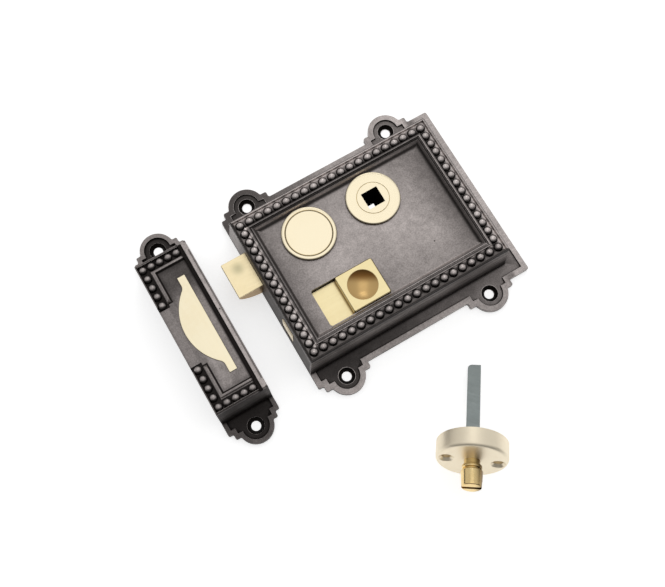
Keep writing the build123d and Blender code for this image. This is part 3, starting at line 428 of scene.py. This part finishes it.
def case_front_group():
    """Burnish and painted light and shade of the case's face, side by side, and a mask of the face.
    """
    group, t, _, result = new_group("case_front", [], [("Level", FLOAT), ("Mask", FLOAT)])
    x, y, z = t.along("X"), t.along("Y"), t.along("Z")
    room_x = t.math("SUBTRACT", PANEL_HALF_X, t.math("ABSOLUTE", x))
    room_y = t.math("SUBTRACT", PANEL_HALF_Y, t.math("ABSOLUTE", y))
    inside = t.math("MINIMUM", room_x, room_y)
    # painted light: between two beads of the bolts' side, the foot of the ridge is brighter, where
    # the beads' shade doesn't fall
    turn = t.times(t.math("ADD", y, BEAD_ROW_Y), 2 * math.pi / SIDE_BEAD_STEP)
    gap = t.span(t.math("COSINE", turn), 0.2, -0.9, 1.0, 1.9)
    foot = t.below(t.off(inside, -3.85), 1.15)
    bolt_side = t.times(t.ramp(inside, BOLT_SIDE), t.between(foot, 1.0, gap))
    # painted highlight: the rim's edge nearest the camera is a little lighter than the line of
    # painted shade under it
    edge = t.times(t.below(inside, -9.05), t.span(z, 22.4, 23.1, 0.0, 0.08))
    low_side = t.math("MAXIMUM", t.ramp(inside, LOW_SIDE), edge)
    across = t.between(t.above(x, 0.0), bolt_side, t.ramp(inside, FAR_SIDE))
    upright = t.between(t.above(y, 0.0), low_side, t.ramp(inside, TOP_SIDE))
    level = t.between(t.below(room_x, room_y), upright, across)
    # painted light and shade: the panel grows brighter towards its middle, away from the moulding,
    # and duller with its slope towards the far side
    duller = t.between(t.above(inside, -1.0), 1.0, t.span(x, 24.0, 41.0, 1.0, 0.76))
    level = t.times(level, t.span(inside, 4.0, 18.0, 1.0, 1.34), duller)
    # the cast beads rise out of the channel
    bead = t.times(t.below(t.off(inside, -5.75), 2.1), t.span(z, 22.0, 22.5))
    t.feed(result.inputs["Level"], t.between(bead, level, 1.1))
    t.feed(result.inputs["Mask"], t.span(z, 20.9, 21.1))
    return group


def keep_front_group():
    """Burnish and painted light and shade of the keep's face: moulded sides, panel, and quirk and
    lip beside the bolts; and a mask of the face."""
    group, t, _, result = new_group("keep_front", [], [("Level", FLOAT), ("Mask", FLOAT)])
    x, y, z = t.along("X"), t.along("Y"), t.along("Z")
    off = t.off(y, KEEP_MIDDLE_Y)
    inside = t.math("MINIMUM", t.math("SUBTRACT", x, KEEP_PANEL_X),
                    t.math("SUBTRACT", KEEP_PANEL_HALF_Y, off))
    # painted light and shade: the panel is darker near its edges, towards its upper end and towards
    # the bolts
    panel = t.times(t.span(inside, 0.0, 2.5, 0.36, 0.52), t.span(y, 8.0, 26.0, 1.0, 0.36),
                    t.span(x, -91.0, -78.0, 1.22, 0.76))
    level = t.between(t.above(inside, 0.0), t.ramp(inside, KEEP_SIDE), panel)
    # painted shade: where the panel runs out, it is black against the ends of channel and moulding
    short = t.between(t.above(inside, -2.4), 14.5, 15.8)
    end = t.span(t.math("SUBTRACT", off, short), -0.1, 0.1, 0.40, 0.04)
    beside = t.times(t.below(inside, 0.0), t.span(off, 16.5, 16.7, 1.0, 0.0))
    level = t.between(beside, level, end)
    # quirk and lip are alike along their whole length
    plain = t.times(t.between(t.above(x, KEEP_QUIRK_X), level, 0.90), t.ramp(x, KEEP_LIP))
    # the cast beads, and painted shade on the end nearest the camera
    bead = t.times(t.below(t.off(inside, -5.0), 1.9), t.span(z, 22.2, 22.6))
    low_end = t.span(y, -36.6, -36.2, 0.3, 1.0)
    t.feed(result.inputs["Level"], t.times(t.between(bead, plain, 0.8), low_end))
    t.feed(result.inputs["Mask"], t.span(z, 21.4, 21.55))
    return group


PATINA = patina_group()
SKIN = cast_skin_group()
POLISH = polish_group()
TURNING = turning_group()
STREAKS = streaks_group()
HOLES = holes_group()
CASE_BANDS = bands_group("case_bands", CASE_HEIGHTS)
KEEP_BANDS = bands_group("keep_bands", KEEP_HEIGHTS)
CASE_FRONT = case_front_group()
KEEP_FRONT = keep_front_group()


# Materials

PITCH = (0.010, 0.0075, 0.0065, 1.0)
PEWTER = (0.56, 0.505, 0.485, 1.0)
EDGE = (0.76, 0.695, 0.67, 1.0)
BRASS = (0.93, 0.815, 0.575, 1.0)
PALE_BRASS = (0.95, 0.845, 0.62, 1.0)
SHADE_BROWN = (0.10, 0.062, 0.028, 1.0)
REFLECTED_AMBER = (0.60, 0.37, 0.135, 1.0)


def new_material(name):
    """Material with its tree and its one shader."""
    made = bpy.data.materials.new(name)
    made.use_nodes = True
    tree = Tree(made.node_tree)
    return made, tree, made.node_tree.nodes["Principled BSDF"]


def cloudiness(t, coarse=28.0, fine=330.0):
    """Level of the patina here, from zero to one."""
    return use_group(t, PATINA, {"Coarse": coarse, "Fine": fine}).outputs["Cloud"]


def round_place(t, centre, radius, corner=(0, 0, 0), soft=0.3):
    """Mask of round places whose radius and softness are in millimetres."""
    values = {"Centre": centre, "Corner": corner, "Radius": radius * MM, "Soft": soft * MM}
    return use_group(t, HOLES, values).outputs["Mask"]


def nearness(t, reach):
    """Ambient occlusion: one in the open, less where other faces are near."""
    return t.node("ShaderNodeAmbientOcclusion", {"Distance": reach * MM}, samples=8).outputs["AO"]


def plate_light(t, x, y, z):
    """Painted light: the plate's field grows brighter away from the bolts, and so does its border
    at the top.
    """
    low = t.ramp(x, [(-60.0, 0.95), (-55.0, 1.5), (49.0, 1.55), (51.0, 0.95), (54.0, 0.95)])
    top = t.ramp(x, [(-60.0, 1.6), (-55.0, 0.5), (-42.0, 0.5), (-15.0, 0.8), (5.0, 1.4),
                     (30.0, 1.5), (44.0, 2.3), (48.5, 2.3), (51.0, 0.95), (54.0, 0.95)])
    border = t.between(t.span(y, -35.0, 38.0), low, top)
    field = t.span(x, -42.0, 42.0, 0.85, 2.4)
    return t.between(t.above(z, 2.6), field, border)


def wall_wear_and_shade(t, level, x, y, z, wall):
    """The wall beside the bolts is brighter towards the top of the picture, and the one nearest the
    camera is rubbed half way up and painted dark under its rim as shade."""
    corner = t.times(t.span(x, -51.5, -52.4), t.span(y, 14.0, 34.0, 0.0, 0.3), wall)
    near = t.below(y, NEAR_WALL_Y)
    middle = t.times(t.span(z, 5.0, 11.0), t.span(z, 19.0, 15.0), near)
    # painted shade under the rim of the wall nearest the camera
    under = t.times(near, t.span(z, 20.2, 20.6))
    level = t.math("ADD", level, corner)
    return t.times(level, t.span(middle, 0.0, 1.0, 1.0, 1.8), t.span(under, 0.0, 1.0, 1.0, 0.1))


def iron_material(name, bands, front, centre, corner, pit):
    """Blackened iron, burnished where it is rubbed, with the painted light and shade of its face,
    and painted shade in its countersinks and corners.
    """
    made, t, skin = new_material(name)
    x, y, z = t.along("X"), t.along("Y"), t.along("Z")
    plate = t.below(z, PLATE_LIMIT_Z)
    wall = t.math("SUBTRACT", 1.0, plate)
    level = use_group(t, bands).outputs["Level"]
    streaks = t.span(use_group(t, STREAKS).outputs["Lines"], 0.35, 0.7, 0.75, 1.5)
    # painted light on the plate, and streaks on the walls
    level = t.times(level, t.between(plate, streaks, plate_light(t, x, y, z)))
    level = wall_wear_and_shade(t, level, x, y, z, wall)
    # the border at the far end is brushed
    strip = t.times(t.span(x, 53.0, 55.0), t.span(z, 2.8, 2.95))
    brushed = use_group(t, POLISH, {"Across": 2200.0, "Along": 60.0}).outputs["Lines"]
    level = t.math("ADD", level, t.times(strip, t.span(brushed, 0.3, 0.7, 0.34, 0.54)))
    face = use_group(t, front)
    base = t.between(face.outputs["Mask"], level, face.outputs["Level"])
    speck = t.span(t.noise(t.place(), 1900.0, 2.0, 0.5), 0.25, 0.75, 0.82, 1.18)
    cloud = t.times(t.span(cloudiness(t), 0.15, 0.85, 0.86, 1.12), speck)
    # painted shade in the countersinks, in corners, and wide along the foot of the walls; and a
    # dark pit
    marks = t.math("MAXIMUM", round_place(t, centre, SINK_R, corner), round_place(t, pit, PIT_R))
    crease = t.math("MAXIMUM", t.span(nearness(t, 2.0), 0.64, 0.82, 0.10, 1.0), wall)
    shade_and_pit = t.times(t.math("SUBTRACT", 1.0, marks),
                    t.span(nearness(t, 1.0), 0.25, 0.88, 0.28, 1.0), crease)
    burnish_and_shade = t.math("MINIMUM", t.times(base, cloud, shade_and_pit), 1.6)
    t.feed(skin.inputs["Base Color"], t.mix(burnish_and_shade, PITCH, PEWTER, clamp=False))
    t.feed(skin.inputs["Roughness"], t.span(burnish_and_shade, 0.0, 0.8, 0.62, 0.40))
    skin.inputs["Metallic"].default_value = 0.92
    t.feed(skin.inputs["Normal"], use_group(t, SKIN, {"Strength": 0.22}).outputs["Normal"])
    return made


def edge_material(name, front):
    """The same iron where its corners are rubbed bright; on the face they take the face's level,
    with its painted light and shade.
    """
    made, t, skin = new_material(name)
    cloud = cloudiness(t, 60.0, 700.0)
    face = use_group(t, front)
    level = t.times(face.outputs["Level"], t.span(cloud, 0.1, 0.9, 0.7, 1.2))
    level = t.between(face.outputs["Mask"], t.span(cloud, 0.15, 0.8, 0.35, 0.95), level)
    t.feed(skin.inputs["Base Color"], t.mix(level, PITCH, EDGE))
    skin.inputs["Metallic"].default_value = 0.95
    skin.inputs["Roughness"].default_value = 0.36
    return made


def bead_material():
    """Beads with painted light and shade: bright on top, black where they meet the channel and
    duller on the side towards the camera. The rows at top and bottom and those of the keep are
    painted duller as a whole."""
    made, t, skin = new_material("iron_beads")
    y = t.along("Y")
    top = t.span(t.along("Z"), 22.0, 23.3, 0.03, 1.05)
    # painted shade on the side of each bead that faces the camera
    way = t.node("ShaderNodeTexCoord").outputs["Normal"]
    near = t.vector("DOT_PRODUCT", way, (-0.12, -0.99, 0.0))
    top = t.times(top, t.span(near, 0.0, 0.6, 1.0, 0.2))
    row = t.between(t.below(y, -31.0), t.between(t.above(y, 31.0), 1.0, 0.82), 0.40)
    top = t.times(top, t.between(t.below(t.along("X"), -60.0), row, 0.55))
    cloud = t.span(cloudiness(t, 90.0, 900.0), 0.2, 0.8, 0.84, 1.1)
    burnish_and_shade = t.math("MULTIPLY", top, cloud, clamp=True)
    t.feed(skin.inputs["Base Color"], t.mix(burnish_and_shade, PITCH, EDGE))
    t.feed(skin.inputs["Roughness"], t.span(burnish_and_shade, 0.0, 0.9, 0.50, 0.27))
    skin.inputs["Metallic"].default_value = 0.95
    t.feed(skin.inputs["Normal"], use_group(t, SKIN, {"Strength": 0.2}).outputs["Normal"])
    return made


def brass_material(name, bright, tarnish, rough, turn=0.0, centre=None, grain=0.10,
                   ring=None, below=None, stain=None, shade=None, metallic=1.0):
    """Brass with polishing lines, or with turning circles round a centre.
    ring: radius of a dark line cut round the centre
    below: height under which the sides are painted another colour as shade, that colour, and how
    metallic it is
    stain: middle, radius, softness, colour and depth of a round place, used for a smudge and for a
    painted reflection
    shade: a painted shade: start, direction, two distances from the start between which the shade
    grows, the height it stays under, its colour and its depth"""
    made, t, skin = new_material(name)
    if centre is None:
        lines = use_group(t, POLISH, {"Turn": turn}).outputs["Lines"]
    else:
        turned = use_group(t, TURNING, {"Centre": centre})
        lines = turned.outputs["Lines"]
    dull = t.span(cloudiness(t, 45.0, 500.0), 0.25, 0.95, 0.0, 0.4)
    colour = t.mix(dull, bright, tarnish)
    metal = metallic
    if ring is not None:
        cut = t.span(t.off(turned.outputs["Radius"], ring * MM), 0.10 * MM, 0.28 * MM, 0.85, 0.0)
        colour = t.mix(cut, colour, (0.045, 0.028, 0.012, 1.0))
    # a round place of another colour: a smudge on the bolt, a painted reflection in the dimple
    if stain is not None:
        middle, radius, soft, tone, depth = stain
        spot = round_place(t, middle, radius, soft=soft)
        colour = t.mix(t.times(spot, depth), colour, tone)
    # painted shade that grows in one direction
    if shade is not None:
        start, way, first, last, under, tone, depth = shade
        along = t.vector("DOT_PRODUCT", t.vector("SUBTRACT", t.place(), start), way)
        part = t.times(t.span(along, first * MM, last * MM, 0.0, depth),
                       t.span(t.along("Z"), under, under - 0.1))
        colour = t.mix(part, colour, tone)
    # painted shade: the sides under a height take another colour
    if below is not None:
        height, tone, low_metal = below
        face = t.span(t.along("Z"), height - 0.12, height)
        colour = t.mix(face, tone, colour)
        metal = t.span(face, 0.0, 1.0, low_metal, metallic)
        skin.inputs["Specular IOR Level"].default_value = 0.0
    t.feed(skin.inputs["Base Color"], colour)
    t.feed(skin.inputs["Roughness"], t.span(lines, 0.2, 0.8, rough * 0.9, rough * 1.15))
    t.feed(skin.inputs["Metallic"], metal)
    bump = t.node("ShaderNodeBump", {"Strength": grain, "Distance": 0.00004, "Height": lines})
    t.feed(skin.inputs["Normal"], bump.outputs["Normal"])
    return made


def steel_material(name, colour, stain, rough, turn=0.0):
    """Plain steel with drawn lines and a little staining."""
    made, t, skin = new_material(name)
    lines = use_group(t, POLISH, {"Turn": turn, "Across": 1400.0}).outputs["Lines"]
    stained = t.span(cloudiness(t, 70.0, 650.0), 0.3, 0.9, 0.0, 0.8)
    t.feed(skin.inputs["Base Color"], t.mix(stained, colour, stain))
    t.feed(skin.inputs["Roughness"], t.span(lines, 0.2, 0.8, rough * 0.85, rough * 1.2))
    skin.inputs["Metallic"].default_value = 0.9
    bump = t.node("ShaderNodeBump", {"Strength": 0.15, "Distance": 0.00005, "Height": lines})
    t.feed(skin.inputs["Normal"], bump.outputs["Normal"])
    return made


def floor_material():
    """White paper that keeps the shadows and shows white to the camera and to metal. Under the
    square hole, where little light falls, it has more of its own."""
    made, t, skin = new_material("white_paper")
    skin.inputs["Base Color"].default_value = (0.8, 0.8, 0.8, 1.0)
    skin.inputs["Roughness"].default_value = 0.9
    skin.inputs["Specular IOR Level"].default_value = 0.0
    path = t.node("ShaderNodeLightPath").outputs
    seen = t.math("ADD", path["Is Camera Ray"], path["Is Glossy Ray"])
    seen = t.math("ADD", seen, path["Is Transmission Ray"], clamp=True)
    skin.inputs["Emission Color"].default_value = (1.0, 1.0, 1.0, 1.0)
    white = t.span(round_place(t, ROSE_CENTRE, 9.0), 0.0, 1.0, 0.64, 1.0)
    t.feed(skin.inputs["Emission Strength"], t.times(seen, white))
    return made


CASE_IRON = iron_material("case_iron", CASE_BANDS, CASE_FRONT, at(0, 0), at(*CASE_SCREW),
                          at(*CASE_PIT))
KEEP_IRON = iron_material("keep_iron", KEEP_BANDS, KEEP_FRONT, at(KEEP_MIDDLE_X, KEEP_MIDDLE_Y),
                          at(*KEEP_SCREW), at(*KEEP_PIT))
CASE_EDGE = edge_material("case_edge", CASE_FRONT)
KEEP_EDGE = edge_material("keep_edge", KEEP_FRONT)
BEAD_IRON = bead_material()
# painted shade: dark brown on the rose's sides, and black on the walls of the square hole in the
# hub
ROSE_BRASS = brass_material("rose_brass", PALE_BRASS, BRASS, 0.2, centre=ROSE_CENTRE,
                            below=(23.05, SHADE_BROWN, 0.0))
HUB_BRASS = brass_material("hub_brass", PALE_BRASS, BRASS, 0.2, centre=ROSE_CENTRE,
                           below=(23.1, PITCH, 0.0))
# painted shade: dark brown on the disc's sides, under its cut ring
DISC_BRASS = brass_material("disc_brass", PALE_BRASS, BRASS, 0.22, centre=BLANK_CENTRE,
                            ring=RING_R, below=(23.0, SHADE_BROWN, 0.0))
# painted shade: the bolt's sides under its top are dark brown; the round stain on its top is a
# smudge
BOLT_BRASS = brass_material("bolt_brass", (0.96, 0.82, 0.53, 1), (0.90, 0.75, 0.45, 1), 0.3,
                            turn=0.1, grain=0.03, below=(15.1, (0.31, 0.18, 0.04, 1), 1.0),
                            stain=(SMUDGE, 4.6, 4.6, (0.34, 0.33, 0.20, 1), 0.55))
PRIVACY_BRASS = brass_material("privacy_brass", (0.86, 0.74, 0.54, 1), (0.78, 0.66, 0.44, 1),
                               0.35, turn=0.1, grain=0.03)
# painted reflection: the dimple is amber, and dark brown towards the top of the picture
SNIB_BRASS = brass_material("snib_brass", (0.91, 0.775, 0.44, 1), (0.86, 0.70, 0.37, 1), 0.31,
                            grain=0.02, stain=(DIMPLE, 7.2, 0.25, REFLECTED_AMBER, 0.85),
                            shade=(DIMPLE, (0.5, 0.87, 0.0), 0.8, 5.0, 23.2,
                                   (0.30, 0.13, 0.03, 1), 0.9))
# painted shadow of the thumb piece, darkening the slide up to its left edge
SLIDE_BRASS = brass_material("slide_brass", (0.92, 0.79, 0.47, 1), (0.87, 0.72, 0.40, 1), 0.3,
                             grain=0.01, shade=(BUTTON_EDGE, (1.0, 0.0, 0.0), -1.3, 0.0, 100.0,
                                                (0.16, 0.09, 0.03, 1), 0.85))
# painted shade: dark brown on the crescent's sides
STRIKE_BRASS = brass_material("strike_brass", (1.0, 0.90, 0.66, 1), (0.96, 0.83, 0.56, 1), 0.32,
                              turn=1.5, grain=0.01, below=(22.45, SHADE_BROWN, 0.0))
RELEASE_BRASS = brass_material("release_brass", (0.95, 0.85, 0.66, 1), (0.90, 0.79, 0.60, 1),
                               0.42, grain=0.01, metallic=0.85)
# painted reflection: the boss grows dark brown towards the right of the picture
TURN_BRASS = brass_material("turn_brass", (0.88, 0.68, 0.34, 1), (0.74, 0.50, 0.20, 1), 0.2,
                            shade=(BOSS, (0.87, -0.5, 0.0), -0.5, 3.0, 100.0,
                                   (0.10, 0.055, 0.02, 1), 0.85))
TAIL_STEEL = steel_material("tail_steel", (0.26, 0.29, 0.285, 1), (0.235, 0.265, 0.26, 1),
                            0.42, 0.9)
DULL_STEEL = steel_material("dull_steel", (0.42, 0.41, 0.40, 1), (0.16, 0.13, 0.11, 1), 0.4)
SPRING_STEEL = steel_material("spring_steel", (0.38, 0.38, 0.40, 1), (0.18, 0.17, 0.17, 1), 0.3)
BLACK_STEEL = steel_material("black_steel", (0.10, 0.092, 0.088, 1), (0.04, 0.034, 0.03, 1), 0.5)


# Shapes

def new_piece(name, places, faces, material, body):
    """Smooth mesh object from an array of places, riding on a body."""
    mesh = bpy.data.meshes.new(name)
    mesh.from_pydata(places.reshape(-1, 3).tolist(), [], faces)
    mesh.validate()
    mesh.polygons.foreach_set("use_smooth", np.full(len(mesh.polygons), True))
    mesh.materials.append(material)
    made = link(bpy.data.objects.new(name, mesh))
    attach(made, body)
    return made


def grid_faces(rows, columns, wrap_rows, wrap_columns):
    """Quads between neighbouring points of a grid, wrapped round where asked."""
    r = np.arange(rows if wrap_rows else rows - 1)[:, None]
    c = np.arange(columns if wrap_columns else columns - 1)[None, :]
    r1, c1 = (r + 1) % rows, (c + 1) % columns
    corners = [r * columns + c, r * columns + c1, r1 * columns + c1, r1 * columns + c]
    return np.stack(np.broadcast_arrays(*corners), -1).reshape(-1, 4)


def soften(name, node, width, materials, on_plate=1.0):
    """Copy of a CAD node whose outer corners over 28 degrees are rounded by a width in
    millimetres, wider by a factor on the plate. A second material goes on the rounding."""
    source = nodes[node]
    shape = bmesh.new()
    shape.from_mesh(source.data)
    bmesh.ops.remove_doubles(shape, verts=shape.verts, dist=1e-6)
    bmesh.ops.dissolve_limit(shape, angle_limit=math.radians(0.8), verts=shape.verts,
                             edges=shape.edges)
    weight = shape.edges.layers.float.new("bevel_weight_edge")
    for edge in shape.edges:
        sharp = edge.calc_face_angle(0.0) >= math.radians(28.0)
        edge.smooth = not sharp
        plate = max(corner.co.z for corner in edge.verts) < PLATE_LIMIT_Z * MM
        size = 1.0 if plate else 1.0 / on_plate
        edge[weight] = size if sharp and edge.is_convex else 0.0
    for face in shape.faces:
        face.smooth = True
        face.material_index = 0
    mesh = bpy.data.meshes.new(name)
    shape.to_mesh(mesh)
    shape.free()
    for material in materials:
        mesh.materials.append(material)
    made = link(bpy.data.objects.new(name, mesh))
    corner = made.modifiers.new("rounded_corners", "BEVEL")
    corner.limit_method = "WEIGHT"
    corner.width = width * MM * on_plate
    corner.segments = 2
    corner.harden_normals = True
    if len(materials) > 1:
        corner.material = 1
    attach(made, source["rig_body"])
    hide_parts(node)
    return made


def bead_rows(name, centres, radius):
    """Beads whose tops are level with the rim, a little uneven as cast. A bead's points are its
    middle + size * (sin a cos b, sin a sin b, cos a), a being the angle from its top and b the
    angle round it, with a point of its own at top and bottom."""
    chance = np.random.default_rng(7)
    count = len(centres)
    lat = np.linspace(0.0, math.pi, 13)[1:-1]
    lon = np.linspace(0.0, 2 * math.pi, 22, endpoint=False)
    a, b = np.meshgrid(lat, lon, indexing="ij")
    unit = np.stack([np.sin(a) * np.cos(b), np.sin(a) * np.sin(b), np.cos(a)], -1).reshape(-1, 3)
    unit = np.vstack([unit, [[0, 0, 1], [0, 0, -1]]])
    size = radius * MM * (1.0 + 0.02 * chance.random((count, 1, 1)))
    middle = np.zeros((count, 1, 3))
    middle[:, 0, :2] = centres
    middle[:, 0, 2] = RIM_Z * MM - size[:, 0, 0]
    places = middle + unit[None] * size
    ring = len(lat) * len(lon)
    side = grid_faces(len(lat), len(lon), False, True)[:, ::-1]
    here = np.arange(len(lon))
    ahead = (here + 1) % len(lon)
    up = np.stack([here, ahead, np.full_like(here, ring)], -1)
    low = (len(lat) - 1) * len(lon)
    down = np.stack([low + ahead, low + here, np.full_like(here, ring + 1)], -1)
    faces = []
    for number in range(count):
        start = number * (ring + 2)
        for part in (side, up, down):
            faces += (part + start).tolist()
    return new_piece(name, places, faces, BEAD_IRON, "lock")


def even_line(start, end, count):
    """Evenly spaced points from start to end, both included."""
    share = np.linspace(0.0, 1.0, count)[:, None]
    return np.array(start) * (1 - share) + np.array(end) * share


def case_bead_centres():
    """Rows along top and bottom, and between them one up each side."""
    w, h = BEAD_ROW_X * MM, BEAD_ROW_Y * MM
    rows = [even_line((-w, s * h), (w, s * h), TOP_BEADS) for s in (1, -1)]
    rows += [even_line((s * w, -h), (s * w, h), SIDE_BEADS)[1:-1] for s in (1, -1)]
    return np.vstack(rows)


def keep_bead_centres():
    """Five beads along each end of the keep, and from each of its corners four more inwards."""
    x, y, h = KEEP_ROW_X * MM, KEEP_MIDDLE_Y * MM, KEEP_ROW_HALF_Y * MM
    rows = []
    for s in (1, -1):
        corner = (x, y + s * h)
        rows.append(even_line(corner, (x + 4 * KEEP_BEAD_STEP * MM, y + s * h), 5))
        rows.append(even_line(corner, (x, y + s * (h - KEEP_ROW_LENGTH * MM)), 5)[1:])
    return np.vstack(rows)


def coil_spring():
    """Wire carried along a helix round the axis y 14.9, z 9.75, from seat to seat. The angle
    grows evenly, but x stands still through the first and last share flat, where the turns lie
    on their seats. The wire is a circle of its radius round each point, square to the way."""
    turns, radius, wire = 9.0, 3.85 * MM, 0.45 * MM
    x0, x1 = -39.55 * MM, -9.45 * MM
    sides = 10
    flat = 0.09
    t = np.linspace(0.0, 1.0, 433)
    ease = np.clip((t - flat) / (1 - 2 * flat), 0.0, 1.0)
    x = x0 + wire + (x1 - x0 - 2 * wire) * ease
    angle = 2 * math.pi * turns * t
    line = np.stack([x, 14.9 * MM + radius * np.cos(angle), 9.75 * MM + radius * np.sin(angle)], -1)
    ahead = np.gradient(line, axis=0)
    ahead /= np.linalg.norm(ahead, axis=1, keepdims=True)
    out = np.stack([np.zeros_like(t), np.cos(angle), np.sin(angle)], -1)
    side = np.cross(ahead, out)
    b = np.linspace(0.0, 2 * math.pi, sides, endpoint=False)[None, :, None]
    places = line[:, None] + wire * (np.cos(b) * out[:, None] + np.sin(b) * side[:, None])
    faces = grid_faces(len(t), sides, False, True).tolist()
    faces.append(list(range(sides - 1, -1, -1)))
    faces.append([(len(t) - 1) * sides + k for k in range(sides)])
    made = new_piece("latch_coil", places, faces, SPRING_STEEL, "lock")
    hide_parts("latch_spring")
    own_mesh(made)
    return made


def turned_piece(name, centre, profile, material, node, steps=96):
    """Profile of radius and height, in millimetres, turned round an upright axis: a point's place
    is the centre + radius * (cos, sin) of the angle, at its height. A profile that doesn't start
    on the axis closes on itself."""
    outline = np.array(profile) * MM
    angle = np.linspace(0.0, 2 * math.pi, steps, endpoint=False)[None, :]
    r, z = outline[:, 0][:, None], outline[:, 1][:, None]
    places = np.stack([centre[0] + r * np.cos(angle), centre[1] + r * np.sin(angle),
                       z + 0 * angle], -1)
    hollow = outline[0, 0] > 0
    faces = grid_faces(len(outline), steps, hollow, True).tolist()
    made = new_piece(name, places, faces, material, "lock")
    shape = bmesh.new()
    shape.from_mesh(made.data)
    bmesh.ops.remove_doubles(shape, verts=shape.verts, dist=1e-7)
    bmesh.ops.recalc_face_normals(shape, faces=shape.faces)
    for edge in shape.edges:
        edge.smooth = edge.calc_face_angle(0.0) < math.radians(32)
    shape.to_mesh(made.data)
    shape.free()
    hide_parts(node)
    return made


def rolled_edge(steps=5):
    """Quarter of a circle from a disc's face to its rim: middle + radius * (sin, cos) of the angle
    from upright."""
    middle_r, middle_z = DISC_R - DISC_ROLL_R, DISC_TOP_Z - DISC_ROLL_R
    turn = np.linspace(0.0, math.pi / 2, steps)
    return [(middle_r + DISC_ROLL_R * math.sin(a), middle_z + DISC_ROLL_R * math.cos(a))
            for a in turn]


def make_discs():
    """Rose and blank disc, with a rolled edge, a slightly crowned face and fine steps."""
    top, low = DISC_TOP_Z, PANEL_Z
    rim = rolled_edge() + [(DISC_R, low + 0.1), (DISC_R - 0.1, low)]
    rose = [(BUSH_BORE_R, top - 0.18), (7.75, top), (8.1, top + 0.03), (11.4, top + 0.03)]
    rose += rim + [(BUSH_NECK_R, low), (BUSH_NECK_R, BUSH_END_Z), (BUSH_BORE_R, BUSH_END_Z)]
    turned_piece("rose", ROSE_CENTRE, rose, ROSE_BRASS, "follower_rose")
    half, deep = 0.27, 0.3
    disc = [(0.0, top + 0.06), (5.0, top + 0.05), (RING_R - half - 0.1, top + 0.02),
            (RING_R - half * 0.5, top - deep), (RING_R + half * 0.5, top - deep),
            (RING_R + half + 0.1, top + 0.02)]
    disc += rim + [(STEM_R, low), (STEM_R, STEM_END_Z + 0.1), (STEM_R - 0.15, STEM_END_Z),
                   (0.0, STEM_END_Z)]
    turned_piece("plain_disc", BLANK_CENTRE, disc, DISC_BRASS, "blank_disc")


def paint(node, material):
    """Better material for a CAD node that keeps its own shape."""
    slots = nodes[node].data.materials
    slots.clear()
    slots.append(material)


def make_floor():
    half = 2.5
    places = [[-half, -half, FLOOR_Z], [half, -half, FLOOR_Z], [half, half, FLOOR_Z],
              [-half, half, FLOOR_Z]]
    mesh = bpy.data.meshes.new("floor")
    mesh.from_pydata(places, [], [[0, 1, 2, 3]])
    mesh.materials.append(floor_material())
    made = link(bpy.data.objects.new("floor", mesh))


def make_pieces():
    soften("case_casting", "case_body", 0.2, [CASE_IRON, CASE_EDGE], on_plate=2.2)
    soften("keep_casting", "keep_body", 0.2, [KEEP_IRON, KEEP_EDGE], on_plate=2.2)
    bead_rows("case_beads", case_bead_centres(), BEAD_R)
    bead_rows("keep_beads", keep_bead_centres(), KEEP_BEAD_R)
    make_discs()
    coil_spring()
    soften("bolt_head", "latch_bolt", 0.35, [BOLT_BRASS])
    soften("thumb_piece", "snib_button", 0.2, [SNIB_BRASS])
    soften("slide_plate", "snib_slide", 0.15, [SLIDE_BRASS])
    soften("privacy_head", "privacy_bolt", 0.3, [PRIVACY_BRASS])
    soften("crescent", "keep_strike", 0.15, [STRIKE_BRASS])
    soften("release_disc", "release_rose", 0.12, [RELEASE_BRASS])
    soften("release_boss", "release_turn", 0.12, [TURN_BRASS])
    soften("release_bar", "release_tail", 0.2, [TAIL_STEEL])
    soften("hub", "follower", 0.12, [HUB_BRASS])
    soften("rear_cover", "back_plate", 0.15, [BLACK_STEEL])
    for node in ("back_plate_screws", "latch_tail", "latch_rivets", "snib_rivets",
                 "privacy_bolt_rivets", "snib_spring_screws", "release_cam", "release_washer",
                 "release_tail_pin"):
        paint(node, DULL_STEEL)
    paint("snib_spring", SPRING_STEEL)
    paint("blank_disc_washer", BOLT_BRASS)
    paint("keep_strike_rivets", STRIKE_BRASS)


bpy.context.scene.view_settings.view_transform = "Standard"
place_camera()
make_floor()
light_world(0.12, 0.66)
softbox("overhead", (0.10, 0.16, 0.95), (0.0, 0.0, 0.0), (0.66, 0.66), 0.40)
softbox("window", (0.36, 0.60, 0.60), (0.0, 0.0, 0.0), (0.36, 0.36), 1.1)
make_pieces()
